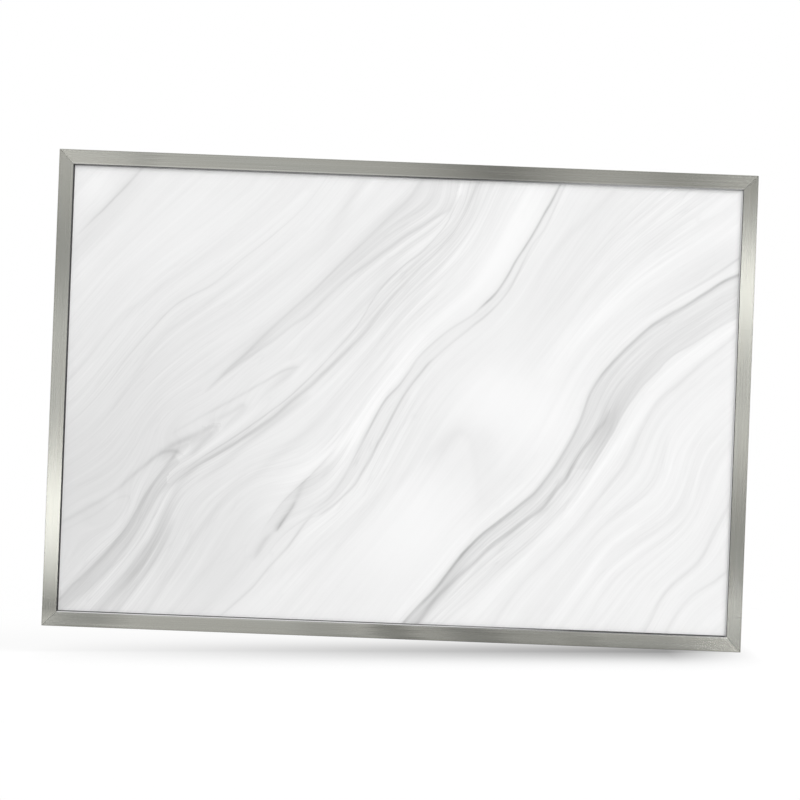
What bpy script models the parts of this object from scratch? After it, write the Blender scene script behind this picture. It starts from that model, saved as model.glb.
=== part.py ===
"""Wall-hung magnetic board: a printed steel sheet held in a mitred metal-section frame.

All sizes are in metres. Seen from the front, X runs right and Z up, and the front faces -Y.
The wall is the plane y = 0, and the origin is the board's centre on the wall.

Each frame side is built lying flat in its own axes: X along the side from its middle, Y back from
the front face, and Z inward from the outer edge. An empty then turns it into place.
"""
import math

import bmesh
import bpy

# Sight size, the part of the sheet that shows inside the frame
SIGHT_WIDTH = 0.9144
SIGHT_HEIGHT = 0.6096

# Gap between pieces that touch, the seam of a mitre, and how far a cutter runs past what it cuts
TOUCH_GAP = 0.0003
MITRE_SEAM = 0.0004
CUT_OVERRUN = 0.0010
MERGE_DISTANCE = 0.00002

# Frame section: the face and the sight edge that steps down to the sheet
FACE_WIDTH = 0.0218
FACE_WALL = 0.0016
OUTER_WALL = 0.0014
EDGE_BREAK = 0.0004
SIGHT_CHAMFER_WIDTH = 0.0009
SIGHT_CHAMFER_DEPTH = 0.0006
RETURN_WIDTH = 0.0013
LIP_DEPTH = 0.0036
LIP_FOOT = 0.0029

# Frame section: the channel behind, which holds the corner keys and the hangers
REAR_WIDTH = 0.0200
WEB_WALL = 0.0012
CHANNEL_WALL = 0.0012
REAR_LIP_WALL = 0.0012
SLOT_WIDTH = 0.0070

# Sheet and backing
SHEET_THICKNESS = 0.0005
BACKING_THICKNESS = 0.0032
EDGE_CLEARANCE = 0.0010

# Bowed spring clips that press the sheet forward
CLIP_LENGTH = 0.0560
CLIP_WIDTH = 0.0110
CLIP_THICKNESS = 0.0005
CLIP_RISE = 0.0042
CLIP_TUCK = 0.0065
CLIP_STEPS = 14
LONG_SIDE_CLIP_SHARES = (-0.30, 0.0, 0.30)
SHORT_SIDE_CLIP_SHARES = (-0.22, 0.22)

# Corner keys, their shims and their set screws
KEY_THICKNESS = 0.0024
SHIM_THICKNESS = 0.0009
WEDGE_GAP = 0.0007
KEY_ARM = 0.0430
SET_SCREW_FROM_CORNER = 0.0300
SET_SCREW_RADIUS = 0.0020
SET_SCREW_SINK = 0.0003
SET_SCREW_TIP_CHAMFER = 0.0004
HEX_SOCKET_RADIUS = 0.0012
HEX_SOCKET_DEPTH = 0.0018

# Hangers: strap, nut plate and screws
HANGER_DROP = 0.1300
STRAP_WIDTH = 0.0110
STRAP_THICKNESS = 0.0010
STRAP_END_MARGIN = 0.0070
STRAP_CORNER_RADIUS = 0.0040
STRAP_CORNER_STEPS = 5
ROLL_STEPS = 18
NUT_PLATE_MARGIN = 0.0070
RING_TO_SCREW_GAP = 0.0033
HANGER_SCREW_PITCH = 0.0130
HANGER_SCREW_RADIUS = 0.0020
HANGER_SCREW_TIP_GAP = 0.0005
PAN_HEAD_RADIUS = 0.0035
PAN_HEAD_HEIGHT = 0.0017
PAN_HEAD_CROWN = 0.0006
RECESS_ARM = 0.0019
RECESS_SLOT = 0.0008
RECESS_DEPTH = 0.0011

# D-rings
RING_WIRE_RADIUS = 0.0012
RING_BEND_RADIUS = 0.0020
RING_DROP = 0.0190
RING_SIDE_CLEARANCE = 0.0006
RING_BOW_STEPS = 20
RING_BEND_STEPS = 6
RING_BEVEL_RESOLUTION = 2

# Rubber wall pads
PAD_RADIUS = 0.0080
PAD_FROM_CORNER = 0.0640
PAD_CHAMFER = 0.0009
WALL_CLEARANCE = 0.0003

ROUND_STEPS = 24
SMOOTH_ANGLE = math.radians(35)

# Sizes worked out from the ones above, as depths back from the front face
SHEET_FRONT = LIP_DEPTH + TOUCH_GAP
SHEET_BACK = SHEET_FRONT + SHEET_THICKNESS
BACKING_FRONT = SHEET_BACK + TOUCH_GAP
BACKING_BACK = BACKING_FRONT + BACKING_THICKNESS
CLIP_FRONT = BACKING_BACK + TOUCH_GAP
CLIP_BACK = CLIP_FRONT + CLIP_RISE
WEB_FRONT = CLIP_BACK + TOUCH_GAP
CHANNEL_FRONT = WEB_FRONT + WEB_WALL
SHIM_FRONT = CHANNEL_FRONT + TOUCH_GAP
SHIM_BACK = SHIM_FRONT + SHIM_THICKNESS
KEY_FRONT = SHIM_BACK + WEDGE_GAP
KEY_BACK = KEY_FRONT + KEY_THICKNESS
CHANNEL_BACK = KEY_BACK + TOUCH_GAP
FRAME_DEPTH = CHANNEL_BACK + REAR_LIP_WALL
STRAP_FRONT = FRAME_DEPTH + TOUCH_GAP
STRAP_BACK = STRAP_FRONT + STRAP_THICKNESS
ROLL_INNER_RADIUS = RING_WIRE_RADIUS + TOUCH_GAP
ROLL_OUTER_RADIUS = ROLL_INNER_RADIUS + STRAP_THICKNESS
RING_AXIS_DEPTH = STRAP_BACK + ROLL_INNER_RADIUS
WALL_DEPTH = RING_AXIS_DEPTH + ROLL_OUTER_RADIUS + WALL_CLEARANCE

# Sizes across the frame
OUTER_WIDTH = SIGHT_WIDTH + 2 * FACE_WIDTH
OUTER_HEIGHT = SIGHT_HEIGHT + 2 * FACE_WIDTH
CHANNEL_INNER = REAR_WIDTH - CHANNEL_WALL
CHANNEL_CENTRE = (OUTER_WALL + CHANNEL_INNER) / 2
SLOT_OUTER = CHANNEL_CENTRE - SLOT_WIDTH / 2
SLOT_INNER = CHANNEL_CENTRE + SLOT_WIDTH / 2
KEY_OUTER = OUTER_WALL + TOUCH_GAP
KEY_INNER = CHANNEL_INNER - TOUCH_GAP

# Distances down a hanger from the ring's axis: its two screws and the strap's end
UPPER_SCREW_DROP = RING_DROP + RING_WIRE_RADIUS + RING_TO_SCREW_GAP + PAN_HEAD_RADIUS
LOWER_SCREW_DROP = UPPER_SCREW_DROP + HANGER_SCREW_PITCH
STRAP_DROP = LOWER_SCREW_DROP + STRAP_END_MARGIN

# Each side: name, length, turn about Y and the middle of its outer edge
SIDES = (
    ("bottom", OUTER_WIDTH, 0, (0, -OUTER_HEIGHT / 2)),
    ("right", OUTER_HEIGHT, -90, (OUTER_WIDTH / 2, 0)),
    ("top", OUTER_WIDTH, 180, (0, OUTER_HEIGHT / 2)),
    ("left", OUTER_HEIGHT, 90, (-OUTER_WIDTH / 2, 0)),
)

# Each corner: name, turn about Y and the outer corner
CORNERS = (
    ("bottom_left", 0, (-OUTER_WIDTH / 2, -OUTER_HEIGHT / 2)),
    ("bottom_right", -90, (OUTER_WIDTH / 2, -OUTER_HEIGHT / 2)),
    ("top_right", 180, (OUTER_WIDTH / 2, OUTER_HEIGHT / 2)),
    ("top_left", 90, (-OUTER_WIDTH / 2, OUTER_HEIGHT / 2)),
)


def clear_scene():
    for obj in list(bpy.data.objects):
        bpy.data.objects.remove(obj, do_unlink=True)


def make_material(name, colour, roughness, metallic):
    material = bpy.data.materials.new(name)
    material.use_nodes = True
    shader = material.node_tree.nodes["Principled BSDF"]
    shader.inputs["Base Color"].default_value = (*colour, 1)
    shader.inputs["Roughness"].default_value = roughness
    shader.inputs["Metallic"].default_value = metallic
    material.diffuse_color = (*colour, 1)
    return material


def make_empty(name, location, turn=0):
    """An empty that carries pieces, turned about Y by a number of degrees."""
    empty = bpy.data.objects.new(name, None)
    bpy.context.scene.collection.objects.link(empty)
    empty.location = location
    empty.rotation_euler = (0, math.radians(turn), 0)
    return empty


def add_object(name, data, parent=None, location=(0, 0, 0), material=None):
    obj = bpy.data.objects.new(name, data)
    bpy.context.scene.collection.objects.link(obj)
    obj.parent = parent
    obj.location = location
    if material and not data.materials:
        data.materials.append(material)
    return obj


def finish_mesh(name, work, smooth=False):
    """Turn a bmesh into a mesh with its faces pointing outward."""
    bmesh.ops.recalc_face_normals(work, faces=work.faces)
    mesh = bpy.data.meshes.new(name)
    work.to_mesh(mesh)
    work.free()
    if smooth:
        mesh.shade_smooth()
        mesh.set_sharp_from_angle(angle=SMOOTH_ANGLE)
    return mesh


def join_two_outlines(start, end):
    """A closed body between two outlines of as many points each."""
    work = bmesh.new()
    first = [work.verts.new(point) for point in start]
    last = [work.verts.new(point) for point in end]
    work.faces.new(first)
    work.faces.new(last)
    for index in range(len(first)):
        following = (index + 1) % len(first)
        work.faces.new((first[index], first[following], last[following], last[index]))
    return work


def prism(outline, low, high, axis):
    """A closed prism along one axis; an outline point holds the other two axes in X, Y, Z order."""
    ends = []
    for level in (low, high):
        ends.append([(*point[:axis], level, *point[axis:]) for point in outline])
    return join_two_outlines(*ends)


def rectangle(low_a, high_a, low_b, high_b):
    return [(low_a, low_b), (high_a, low_b), (high_a, high_b), (low_a, high_b)]


def polygon(radius, steps):
    """Corners of a regular polygon about the origin."""
    turns = [2 * math.pi * step / steps for step in range(steps)]
    return [(radius * math.cos(turn), radius * math.sin(turn)) for turn in turns]


def turned(profile, steps=ROUND_STEPS):
    """A solid turned about Y from a profile of (radius, y) points that starts and ends on the axis."""
    work = bmesh.new()
    points = [work.verts.new((radius, depth, 0)) for radius, depth in profile]
    edges = [work.edges.new(pair) for pair in zip(points, points[1:])]
    bmesh.ops.spin(
        work,
        geom=points + edges,
        cent=(0, 0, 0),
        axis=(0, 1, 0),
        angle=2 * math.pi,
        steps=steps,
        use_merge=True,
    )
    bmesh.ops.remove_doubles(work, verts=work.verts, dist=MERGE_DISTANCE)
    return work


def add_cutter(name, work, parent, location=(0, 0, 0)):
    cutter = add_object(name, finish_mesh(name, work), parent, location)
    cutter.hide_render = True
    cutter.display_type = "WIRE"
    return cutter


def cut(obj, cutter):
    """Cut a hidden shape out of a piece."""
    modifier = obj.modifiers.new(cutter.name, "BOOLEAN")
    modifier.operation = "DIFFERENCE"
    modifier.solver = "EXACT"
    modifier.object = cutter


def frame_section():
    """The frame's section as (inward, back) points, from the outer front edge round."""
    face_end = FACE_WIDTH - RETURN_WIDTH - SIGHT_CHAMFER_WIDTH
    return [
        (EDGE_BREAK, 0),
        (face_end, 0),
        (face_end + SIGHT_CHAMFER_WIDTH, SIGHT_CHAMFER_DEPTH),
        (FACE_WIDTH, LIP_DEPTH),
        (FACE_WIDTH - LIP_FOOT, LIP_DEPTH),
        (FACE_WIDTH - LIP_FOOT, FACE_WALL),
        (OUTER_WALL, FACE_WALL),
        (OUTER_WALL, WEB_FRONT),
        (REAR_WIDTH, WEB_FRONT),
        (REAR_WIDTH, FRAME_DEPTH),
        (SLOT_INNER, FRAME_DEPTH),
        (SLOT_INNER, CHANNEL_BACK),
        (CHANNEL_INNER, CHANNEL_BACK),
        (CHANNEL_INNER, CHANNEL_FRONT),
        (OUTER_WALL, CHANNEL_FRONT),
        (OUTER_WALL, CHANNEL_BACK),
        (SLOT_OUTER, CHANNEL_BACK),
        (SLOT_OUTER, FRAME_DEPTH),
        (EDGE_BREAK, FRAME_DEPTH),
        (0, FRAME_DEPTH - EDGE_BREAK),
        (0, EDGE_BREAK),
    ]


def add_rail(name, length, parent, metal):
    """One frame side: the section run between two mitres, half the seam back from each."""
    half = length / 2 - MITRE_SEAM / 2
    section = frame_section()
    start = [(inward - half, back, inward) for inward, back in section]
    end = [(half - inward, back, inward) for inward, back in section]
    add_object(name, finish_mesh(name, join_two_outlines(start, end)), parent, material=metal)


def clip_mesh():
    """A bowed strip as a parabola, its feet to the front and its crown to the back."""
    bow = CLIP_RISE - CLIP_THICKNESS
    shares = [2 * step / CLIP_STEPS - 1 for step in range(CLIP_STEPS + 1)]
    back = [(share * CLIP_LENGTH / 2, CLIP_BACK - bow * share * share) for share in shares]
    front = [(along, depth - CLIP_THICKNESS) for along, depth in reversed(back)]
    inner = REAR_WIDTH - CLIP_TUCK
    return finish_mesh("spring_clip", prism(back + front, inner, inner + CLIP_WIDTH, 2), smooth=True)


def add_side(name, length, turn, middle, metal, clip):
    """A frame side and the spring clips tucked under its channel."""
    long_side = name in ("bottom", "top")
    side = make_empty(f"{name}_side", (middle[0], -WALL_DEPTH, middle[1]), turn)
    add_rail(f"{name}_rail" if long_side else f"{name}_stile", length, side, metal)
    shares = LONG_SIDE_CLIP_SHARES if long_side else SHORT_SIDE_CLIP_SHARES
    for number, share in enumerate(shares, 1):
        add_object(f"spring_clip_{name}_{number}", clip, side, (share * length, 0, 0))
    return side


def add_panel(name, front, back, material):
    """A flat rectangle that fills the frame behind its lips."""
    half_width = OUTER_WIDTH / 2 - OUTER_WALL - EDGE_CLEARANCE
    half_height = OUTER_HEIGHT / 2 - OUTER_WALL - EDGE_CLEARANCE
    outline = rectangle(-half_width, half_width, -half_height, half_height)
    mesh = finish_mesh(name, prism(outline, front - WALL_DEPTH, back - WALL_DEPTH, 1))
    add_object(name, mesh, material=material)


def angle_plate(front, back):
    """A flat L that lies in the channels of both sides of a corner."""
    outline = [
        (KEY_OUTER, KEY_OUTER),
        (KEY_ARM, KEY_OUTER),
        (KEY_ARM, KEY_INNER),
        (KEY_INNER, KEY_INNER),
        (KEY_INNER, KEY_ARM),
        (KEY_OUTER, KEY_ARM),
    ]
    return prism(outline, front, back, 1)


def set_screw_mesh():
    """A headless screw that runs from the shim to just under the rear lips."""
    tip = SHIM_BACK + TOUCH_GAP
    head = FRAME_DEPTH - SET_SCREW_SINK
    profile = [
        (0, tip),
        (SET_SCREW_RADIUS - SET_SCREW_TIP_CHAMFER, tip),
        (SET_SCREW_RADIUS, tip + SET_SCREW_TIP_CHAMFER),
        (SET_SCREW_RADIUS, head),
        (0, head),
    ]
    return finish_mesh("set_screw", turned(profile), smooth=True)


def add_corner(name, turn, corner, steel, screw_mesh):
    """A threaded corner key, the shim in front of it, and the two screws that wedge them apart."""
    holder = make_empty(f"{name}_corner", (corner[0], -WALL_DEPTH, corner[1]), turn)
    key_mesh = finish_mesh("corner_key", angle_plate(KEY_FRONT, KEY_BACK))
    key = add_object(f"corner_key_{name}", key_mesh, holder, material=steel)
    shim_mesh = finish_mesh("corner_shim", angle_plate(SHIM_FRONT, SHIM_BACK))
    add_object(f"corner_shim_{name}", shim_mesh, holder, material=steel)

    places = ((SET_SCREW_FROM_CORNER, CHANNEL_CENTRE), (CHANNEL_CENTRE, SET_SCREW_FROM_CORNER))
    for number, (along, inward) in enumerate(places, 1):
        place = (along, 0, inward)
        hole = polygon(SET_SCREW_RADIUS + TOUCH_GAP, ROUND_STEPS)
        hole_work = prism(hole, CHANNEL_FRONT, FRAME_DEPTH, 1)
        cut(key, add_cutter(f"key_hole_{name}_{number}", hole_work, holder, place))
        screw = add_object(f"set_screw_{name}_{number}", screw_mesh, holder, place, steel)
        head = FRAME_DEPTH - SET_SCREW_SINK
        socket_work = prism(polygon(HEX_SOCKET_RADIUS, 6), head - HEX_SOCKET_DEPTH, head + CUT_OVERRUN, 1)
        cut(screw, add_cutter(f"hex_socket_{name}_{number}", socket_work, holder, place))


def strap_work():
    """The strap about the ring's axis: a flat plate below, rolled round the axis at its top."""
    outer = []
    inner = []
    for step in range(ROLL_STEPS + 1):
        turn = math.radians(180 - 270 * step / ROLL_STEPS)
        outer.append((ROLL_OUTER_RADIUS * math.cos(turn), ROLL_OUTER_RADIUS * math.sin(turn)))
        inner.append((ROLL_INNER_RADIUS * math.cos(turn), ROLL_INNER_RADIUS * math.sin(turn)))
    front_foot = (-ROLL_OUTER_RADIUS, -STRAP_DROP)
    back_foot = (-ROLL_INNER_RADIUS, -STRAP_DROP)
    outline = [front_foot] + outer + inner[::-1] + [back_foot]
    work = prism(outline, -STRAP_WIDTH / 2, STRAP_WIDTH / 2, 0)
    corners = []
    for edge in work.edges:
        low = all(abs(vert.co.z + STRAP_DROP) < TOUCH_GAP for vert in edge.verts)
        crosses = abs(edge.verts[0].co.y - edge.verts[1].co.y) > TOUCH_GAP
        if low and crosses:
            corners.append(edge)
    bmesh.ops.bevel(
        work,
        geom=corners,
        offset=STRAP_CORNER_RADIUS,
        segments=STRAP_CORNER_STEPS,
        profile=0.5,
        affect="EDGES",
    )
    return work


def nut_plate_work():
    """A plate in the channel, as wide as a key, that reaches a margin past both screws."""
    half_width = (KEY_INNER - KEY_OUTER) / 2
    low = -LOWER_SCREW_DROP - NUT_PLATE_MARGIN
    high = -UPPER_SCREW_DROP + NUT_PLATE_MARGIN
    outline = rectangle(-half_width, half_width, low, high)
    return prism(outline, KEY_FRONT - RING_AXIS_DEPTH, KEY_BACK - RING_AXIS_DEPTH, 1)


def pan_screw_mesh():
    """A domed screw: its head rests on the strap, and its shank ends short of the channel's floor."""
    under = STRAP_BACK + TOUCH_GAP - RING_AXIS_DEPTH
    tip = CHANNEL_FRONT + HANGER_SCREW_TIP_GAP - RING_AXIS_DEPTH
    profile = [
        (0, tip),
        (HANGER_SCREW_RADIUS, tip),
        (HANGER_SCREW_RADIUS, under),
        (PAN_HEAD_RADIUS, under),
        (PAN_HEAD_RADIUS, under + PAN_HEAD_HEIGHT - PAN_HEAD_CROWN),
        (PAN_HEAD_RADIUS - PAN_HEAD_CROWN, under + PAN_HEAD_HEIGHT),
        (0, under + PAN_HEAD_HEIGHT),
    ]
    return finish_mesh("hanger_screw", turned(profile), smooth=True)


def recess_work():
    """The cross-shaped driver recess in a screw head."""
    arm = RECESS_ARM
    slot = RECESS_SLOT / 2
    quarter = [(arm, -slot), (arm, slot), (slot, slot)]
    outline = []
    for _ in range(4):
        outline += quarter
        quarter = [(-second, first) for first, second in quarter]
    top = STRAP_BACK + TOUCH_GAP + PAN_HEAD_HEIGHT - RING_AXIS_DEPTH
    return prism(outline, top - RECESS_DEPTH, top + CUT_OVERRUN, 1)


def ring_route():
    """The D-ring's centre line in its own X and Z: a straight bar on the axis and a round bow below."""
    bar_half = STRAP_WIDTH / 2 + RING_SIDE_CLEARANCE
    leg = bar_half + RING_BEND_RADIUS
    bow_drop = RING_DROP - leg
    points = []
    for step in range(RING_BEND_STEPS + 1):
        turn = math.pi / 2 * (1 - step / RING_BEND_STEPS)
        across = bar_half + RING_BEND_RADIUS * math.cos(turn)
        points.append((across, RING_BEND_RADIUS * (math.sin(turn) - 1)))
    for step in range(RING_BOW_STEPS + 1):
        turn = -math.pi * step / RING_BOW_STEPS
        points.append((leg * math.cos(turn), leg * math.sin(turn) - bow_drop))
    points += [(-across, drop) for across, drop in points[RING_BEND_STEPS::-1]]
    return points


def add_ring(name, parent, metal):
    """A round wire bent to a D, whose bar turns in the strap's roll."""
    curve = bpy.data.curves.new(name, "CURVE")
    curve.dimensions = "3D"
    curve.bevel_depth = RING_WIRE_RADIUS
    curve.bevel_resolution = RING_BEVEL_RESOLUTION
    curve.render_resolution_u = 0
    route = ring_route()
    spline = curve.splines.new("POLY")
    spline.points.add(len(route) - 1)
    for point, (across, up) in zip(spline.points, route):
        point.co = (across, 0, up, 1)
    spline.use_cyclic_u = True
    add_object(name, curve, parent, material=metal)


def add_hanger(name, sign, steel, metal, screw_mesh):
    """One hanger: its empty lies on the ring's hinge axis."""
    across = sign * (OUTER_WIDTH / 2 - CHANNEL_CENTRE)
    height = OUTER_HEIGHT / 2 - HANGER_DROP
    holder = make_empty(f"{name}_hanger", (across, RING_AXIS_DEPTH - WALL_DEPTH, height))
    strap_mesh = finish_mesh("hanger_strap", strap_work(), smooth=True)
    strap = add_object(f"hanger_strap_{name}", strap_mesh, holder, material=steel)
    nut_mesh = finish_mesh("nut_plate", nut_plate_work())
    nut_plate = add_object(f"nut_plate_{name}", nut_mesh, holder, material=steel)
    add_ring(f"d_ring_{name}", holder, metal)
    for number, drop in enumerate((UPPER_SCREW_DROP, LOWER_SCREW_DROP), 1):
        place = (0, 0, -drop)
        hole = polygon(HANGER_SCREW_RADIUS + TOUCH_GAP, ROUND_STEPS)
        hole_work = prism(hole, CHANNEL_FRONT - RING_AXIS_DEPTH, 0, 1)
        hole_cutter = add_cutter(f"screw_hole_{name}_{number}", hole_work, holder, place)
        cut(strap, hole_cutter)
        cut(nut_plate, hole_cutter)
        screw = add_object(f"hanger_screw_{name}_{number}", screw_mesh, holder, place, steel)
        cut(screw, add_cutter(f"recess_{name}_{number}", recess_work(), holder, place))


def pad_mesh():
    """A round pad from the frame's back to the wall."""
    front = FRAME_DEPTH + TOUCH_GAP
    profile = [
        (0, front),
        (PAD_RADIUS, front),
        (PAD_RADIUS, WALL_DEPTH - PAD_CHAMFER),
        (PAD_RADIUS - PAD_CHAMFER, WALL_DEPTH),
        (0, WALL_DEPTH),
    ]
    return finish_mesh("wall_pad", turned(profile), smooth=True)


def add_pads(side_name, side, rubber_mesh, rubber):
    """Two pads over one long side's channel, one near each end."""
    reach = OUTER_WIDTH / 2 - PAD_FROM_CORNER
    turned_over = side_name == "top"
    for end, along in (("left", -reach), ("right", reach)):
        local = -along if turned_over else along
        place = (local, 0, CHANNEL_CENTRE)
        add_object(f"wall_pad_{side_name}_{end}", rubber_mesh, side, place, rubber)


def build_board():
    clear_scene()
    nickel = make_material("brushed_nickel", (0.36, 0.37, 0.33), 0.36, 1.0)
    print_white = make_material("printed_steel", (0.84, 0.84, 0.85), 0.22, 0.0)
    hardboard = make_material("hardboard", (0.30, 0.19, 0.11), 0.85, 0.0)
    zinc = make_material("zinc_steel", (0.55, 0.56, 0.57), 0.38, 1.0)
    spring_steel = make_material("spring_steel", (0.22, 0.23, 0.25), 0.34, 1.0)
    ring_metal = make_material("plated_wire", (0.62, 0.60, 0.56), 0.22, 1.0)
    rubber = make_material("rubber", (0.035, 0.035, 0.037), 0.80, 0.0)

    add_panel("printed_sheet", SHEET_FRONT, SHEET_BACK, print_white)
    add_panel("backing_board", BACKING_FRONT, BACKING_BACK, hardboard)

    clip = clip_mesh()
    clip.materials.append(spring_steel)
    rubber_mesh = pad_mesh()
    for name, length, turn, middle in SIDES:
        side = add_side(name, length, turn, middle, nickel, clip)
        if name in ("bottom", "top"):
            add_pads(name, side, rubber_mesh, rubber)

    set_screw = set_screw_mesh()
    for name, turn, corner in CORNERS:
        add_corner(name, turn, corner, zinc, set_screw)

    pan_screw = pan_screw_mesh()
    add_hanger("left", -1, zinc, ring_metal, pan_screw)
    add_hanger("right", 1, zinc, ring_metal, pan_screw)


build_board()
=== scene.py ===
import math

import bpy
import numpy as np
from mathutils import Matrix, Vector


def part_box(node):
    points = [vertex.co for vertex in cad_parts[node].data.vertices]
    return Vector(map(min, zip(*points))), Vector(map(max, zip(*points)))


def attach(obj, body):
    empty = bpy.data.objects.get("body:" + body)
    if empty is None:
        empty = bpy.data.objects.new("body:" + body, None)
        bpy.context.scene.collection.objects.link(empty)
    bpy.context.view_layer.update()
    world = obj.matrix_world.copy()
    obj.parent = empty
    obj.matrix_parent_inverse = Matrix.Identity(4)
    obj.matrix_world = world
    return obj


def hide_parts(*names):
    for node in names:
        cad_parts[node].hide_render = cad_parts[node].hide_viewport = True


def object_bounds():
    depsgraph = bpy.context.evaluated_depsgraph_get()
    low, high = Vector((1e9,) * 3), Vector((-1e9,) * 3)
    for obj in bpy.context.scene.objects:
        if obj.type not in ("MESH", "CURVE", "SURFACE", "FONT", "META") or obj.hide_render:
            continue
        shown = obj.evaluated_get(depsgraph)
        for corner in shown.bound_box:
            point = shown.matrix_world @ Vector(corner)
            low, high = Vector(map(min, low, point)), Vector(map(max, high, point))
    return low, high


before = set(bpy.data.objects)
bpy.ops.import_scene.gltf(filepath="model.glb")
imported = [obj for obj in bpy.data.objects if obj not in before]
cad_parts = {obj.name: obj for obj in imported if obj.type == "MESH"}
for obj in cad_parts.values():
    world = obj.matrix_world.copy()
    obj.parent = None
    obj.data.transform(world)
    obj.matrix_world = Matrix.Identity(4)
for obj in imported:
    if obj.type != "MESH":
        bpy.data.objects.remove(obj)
CAD_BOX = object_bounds()
MM = 0.001

# The photograph: its width in pixels, the board's scale and lean in it, and where the board's middle shows
PHOTO_PIXELS = 800
PIXELS_PER_METRE = 730.4
BOARD_LEAN = math.radians(2.216)
MIDDLE_SHOWS_AT = (400.1, 400.6)

# Camera
CAMERA_DISTANCE = 5.0
SENSOR_WIDTH = 0.036

# Stage
FLOOR_REACH = 14.0
FLOOR_FADE = (0.9, 2.4)
FLOOR_WHITE = 0.90
FLOOR_CLOUDS_SHARE = 0.01
FLOOR_CLOUDS_SCALE = 3.0
FLOOR_GAP = 0.0002
# The share of its own glow in the floor that the camera and reflections see, and its strength
FLOOR_GLOW_SHARE = 0.9
FLOOR_GLOW = 1.025
# The soft shadow under the board in the photograph: how dark, how far it reaches forward and back, where it
# grows from nothing on the left to full on the right, and where it ends
SHADOW_DARKNESS = 0.68
SHADOW_REACH = 0.19
SHADOW_GROWS = (-0.50, 0.38)
SHADOW_ENDS = (0.50, 0.38)
SEEN_RAYS = ("Is Camera Ray", "Is Glossy Ray", "Is Transmission Ray")
AIR_LIGHT = 0.42
KEY_PLACE = (6.9, -6.9, 10.2)
KEY_SIZE = (7.8, 7.8)
KEY_WATTS = 1530.0
# Lamps that only metal picks up: name, place, size, watts
GLINT_LAMPS = (
    ("glint_left_stile", (-1.0, -2.0, -0.24), (0.56, 0.17), 2.35),
    ("glint_right_stile", (1.0, -2.0, 0.245), (0.56, 0.13), 1.85),
    ("glint_right_middle", (1.0, -2.0, -0.04), (0.56, 0.05), 0.35),
    ("glint_left_middle", (-1.0, -2.0, 0.11), (0.56, 0.05), 0.22),
    ("glint_left_corner", (-0.96, -4.9, 1.2), (0.12, 1.2), 1.6),
    ("glint_right_corner", (0.56, -1.0, -0.316), (0.10, 0.014), 0.075),
)
# Upright dark cards that only reflections see: name, left and right, bottom and top
FLAGS = (
    ("flag_middle", (0.07, 0.28), (0.42, 1.3)),
    ("flag_lower_middle", (0.06, 0.26), (-0.32, -0.05)),
    ("flag_right", (0.44, 0.58), (0.44, 1.3)),
    ("flag_upper_left", (-2.0, -0.65), (0.17, 0.34)),
    ("flag_lower_right", (0.65, 2.0), (-0.32, -0.16)),
    ("flag_upper_right", (0.65, 2.0), (0.35, 0.50)),
)
FLAG_DEPTH = -1.95
# Such cards that lie low in front of the board: name, left and right, near and far
LOW_FLAGS = (
    ("flag_low_middle", (-0.03, 0.24), (-2.0, -0.20)),
    ("flag_low_left", (-0.60, -0.37), (-1.0, -0.20)),
)
LOW_FLAG_HEIGHT = -0.32
FLAG_BLACK = 0.05
FLAG_CLOUDS_SHARE = 0.02
FLAG_CLOUDS_SCALE = 2.0

# The part of a noise's range over which one colour passes into the other
WIDE_SPREAD = (0.3, 0.7)
NARROW_SPREAD = (0.35, 0.65)

# In the finishes, a cell is the size of a noise's spots in metres. A pair of colours or of roughness values
# is for the noise's lows and highs, and a bump has a strength and a depth in metres

# Brushed nickel. Its cells are along the brushing, across it and into the depth
FINE_SCRATCHES = (0.16, 0.00045, 0.0006)
BROAD_SCRATCHES = (0.35, 0.0016, 0.003)
SLOW_SHADE = (0.16, 0.03, 0.03)
SLOW_SHADE_SHARE = 0.5
NICKEL_COLOURS = ((0.329, 0.330, 0.300), (0.409, 0.412, 0.381))
NICKEL_WARM = (0.378, 0.372, 0.333)
NICKEL_ROUGHNESS = (0.20, 0.32)
NICKEL_BUMP = (0.12, 0.00003)
# How far the scratches stretch a reflection, and the turn that puts the stretch across the rails
NICKEL_STRETCH = 0.9
QUARTER_TURN = 0.25
# By the distance in from the outer edge: where the painted shade of the dark outer line ends, where the
# painted highlight line lies, and where the sight edge's bevel and its return start. All four lie on the
# front, which starts at these depths
OUTER_SHADE_ENDS = (0.0022, 0.0006)
OUTER_SHADE_SHARE = 0.3
OUTER_SHADE_GREY = (0.20, 0.20, 0.18)
PAINTED_HIGHLIGHT_STARTS = (0.0172, 0.0182)
PAINTED_HIGHLIGHT_GREY = (0.50, 0.50, 0.475)
# How strong the painted highlight line is on the rails and on the stiles
RAIL_HIGHLIGHT_SHARE = 0.5
STILE_HIGHLIGHT_SHARE = 0.12
BEVEL_STARTS = (0.0195, 0.0197)
RETURN_STARTS = (0.0204, 0.0206)
RETURN_ROUGHNESS = 0.2
FRONT_STARTS = (-0.0208, -0.0214)
# Painted light and shade on the sight edge: greys of the bevel and of the return, each of the bottom and top
# rail or the left and right stile, lighter or darker by how light falls on each side. The two part at the
# board's middle, and the rails' greys change over to the second set towards the right
RAIL_EDGE_SHADING = ((0.75, 0.13), (0.19, 0.36))
RAIL_RIGHT_EDGE_SHADING = ((0.16, 0.30), (0.04, 0.55))
STILE_EDGE_SHADING = ((0.065, 0.05), (0.085, 0.70))
EDGE_SHADING_CHANGE = (0.08, 0.26)
BOARD_MIDDLE = (-0.1, 0.1)
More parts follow.
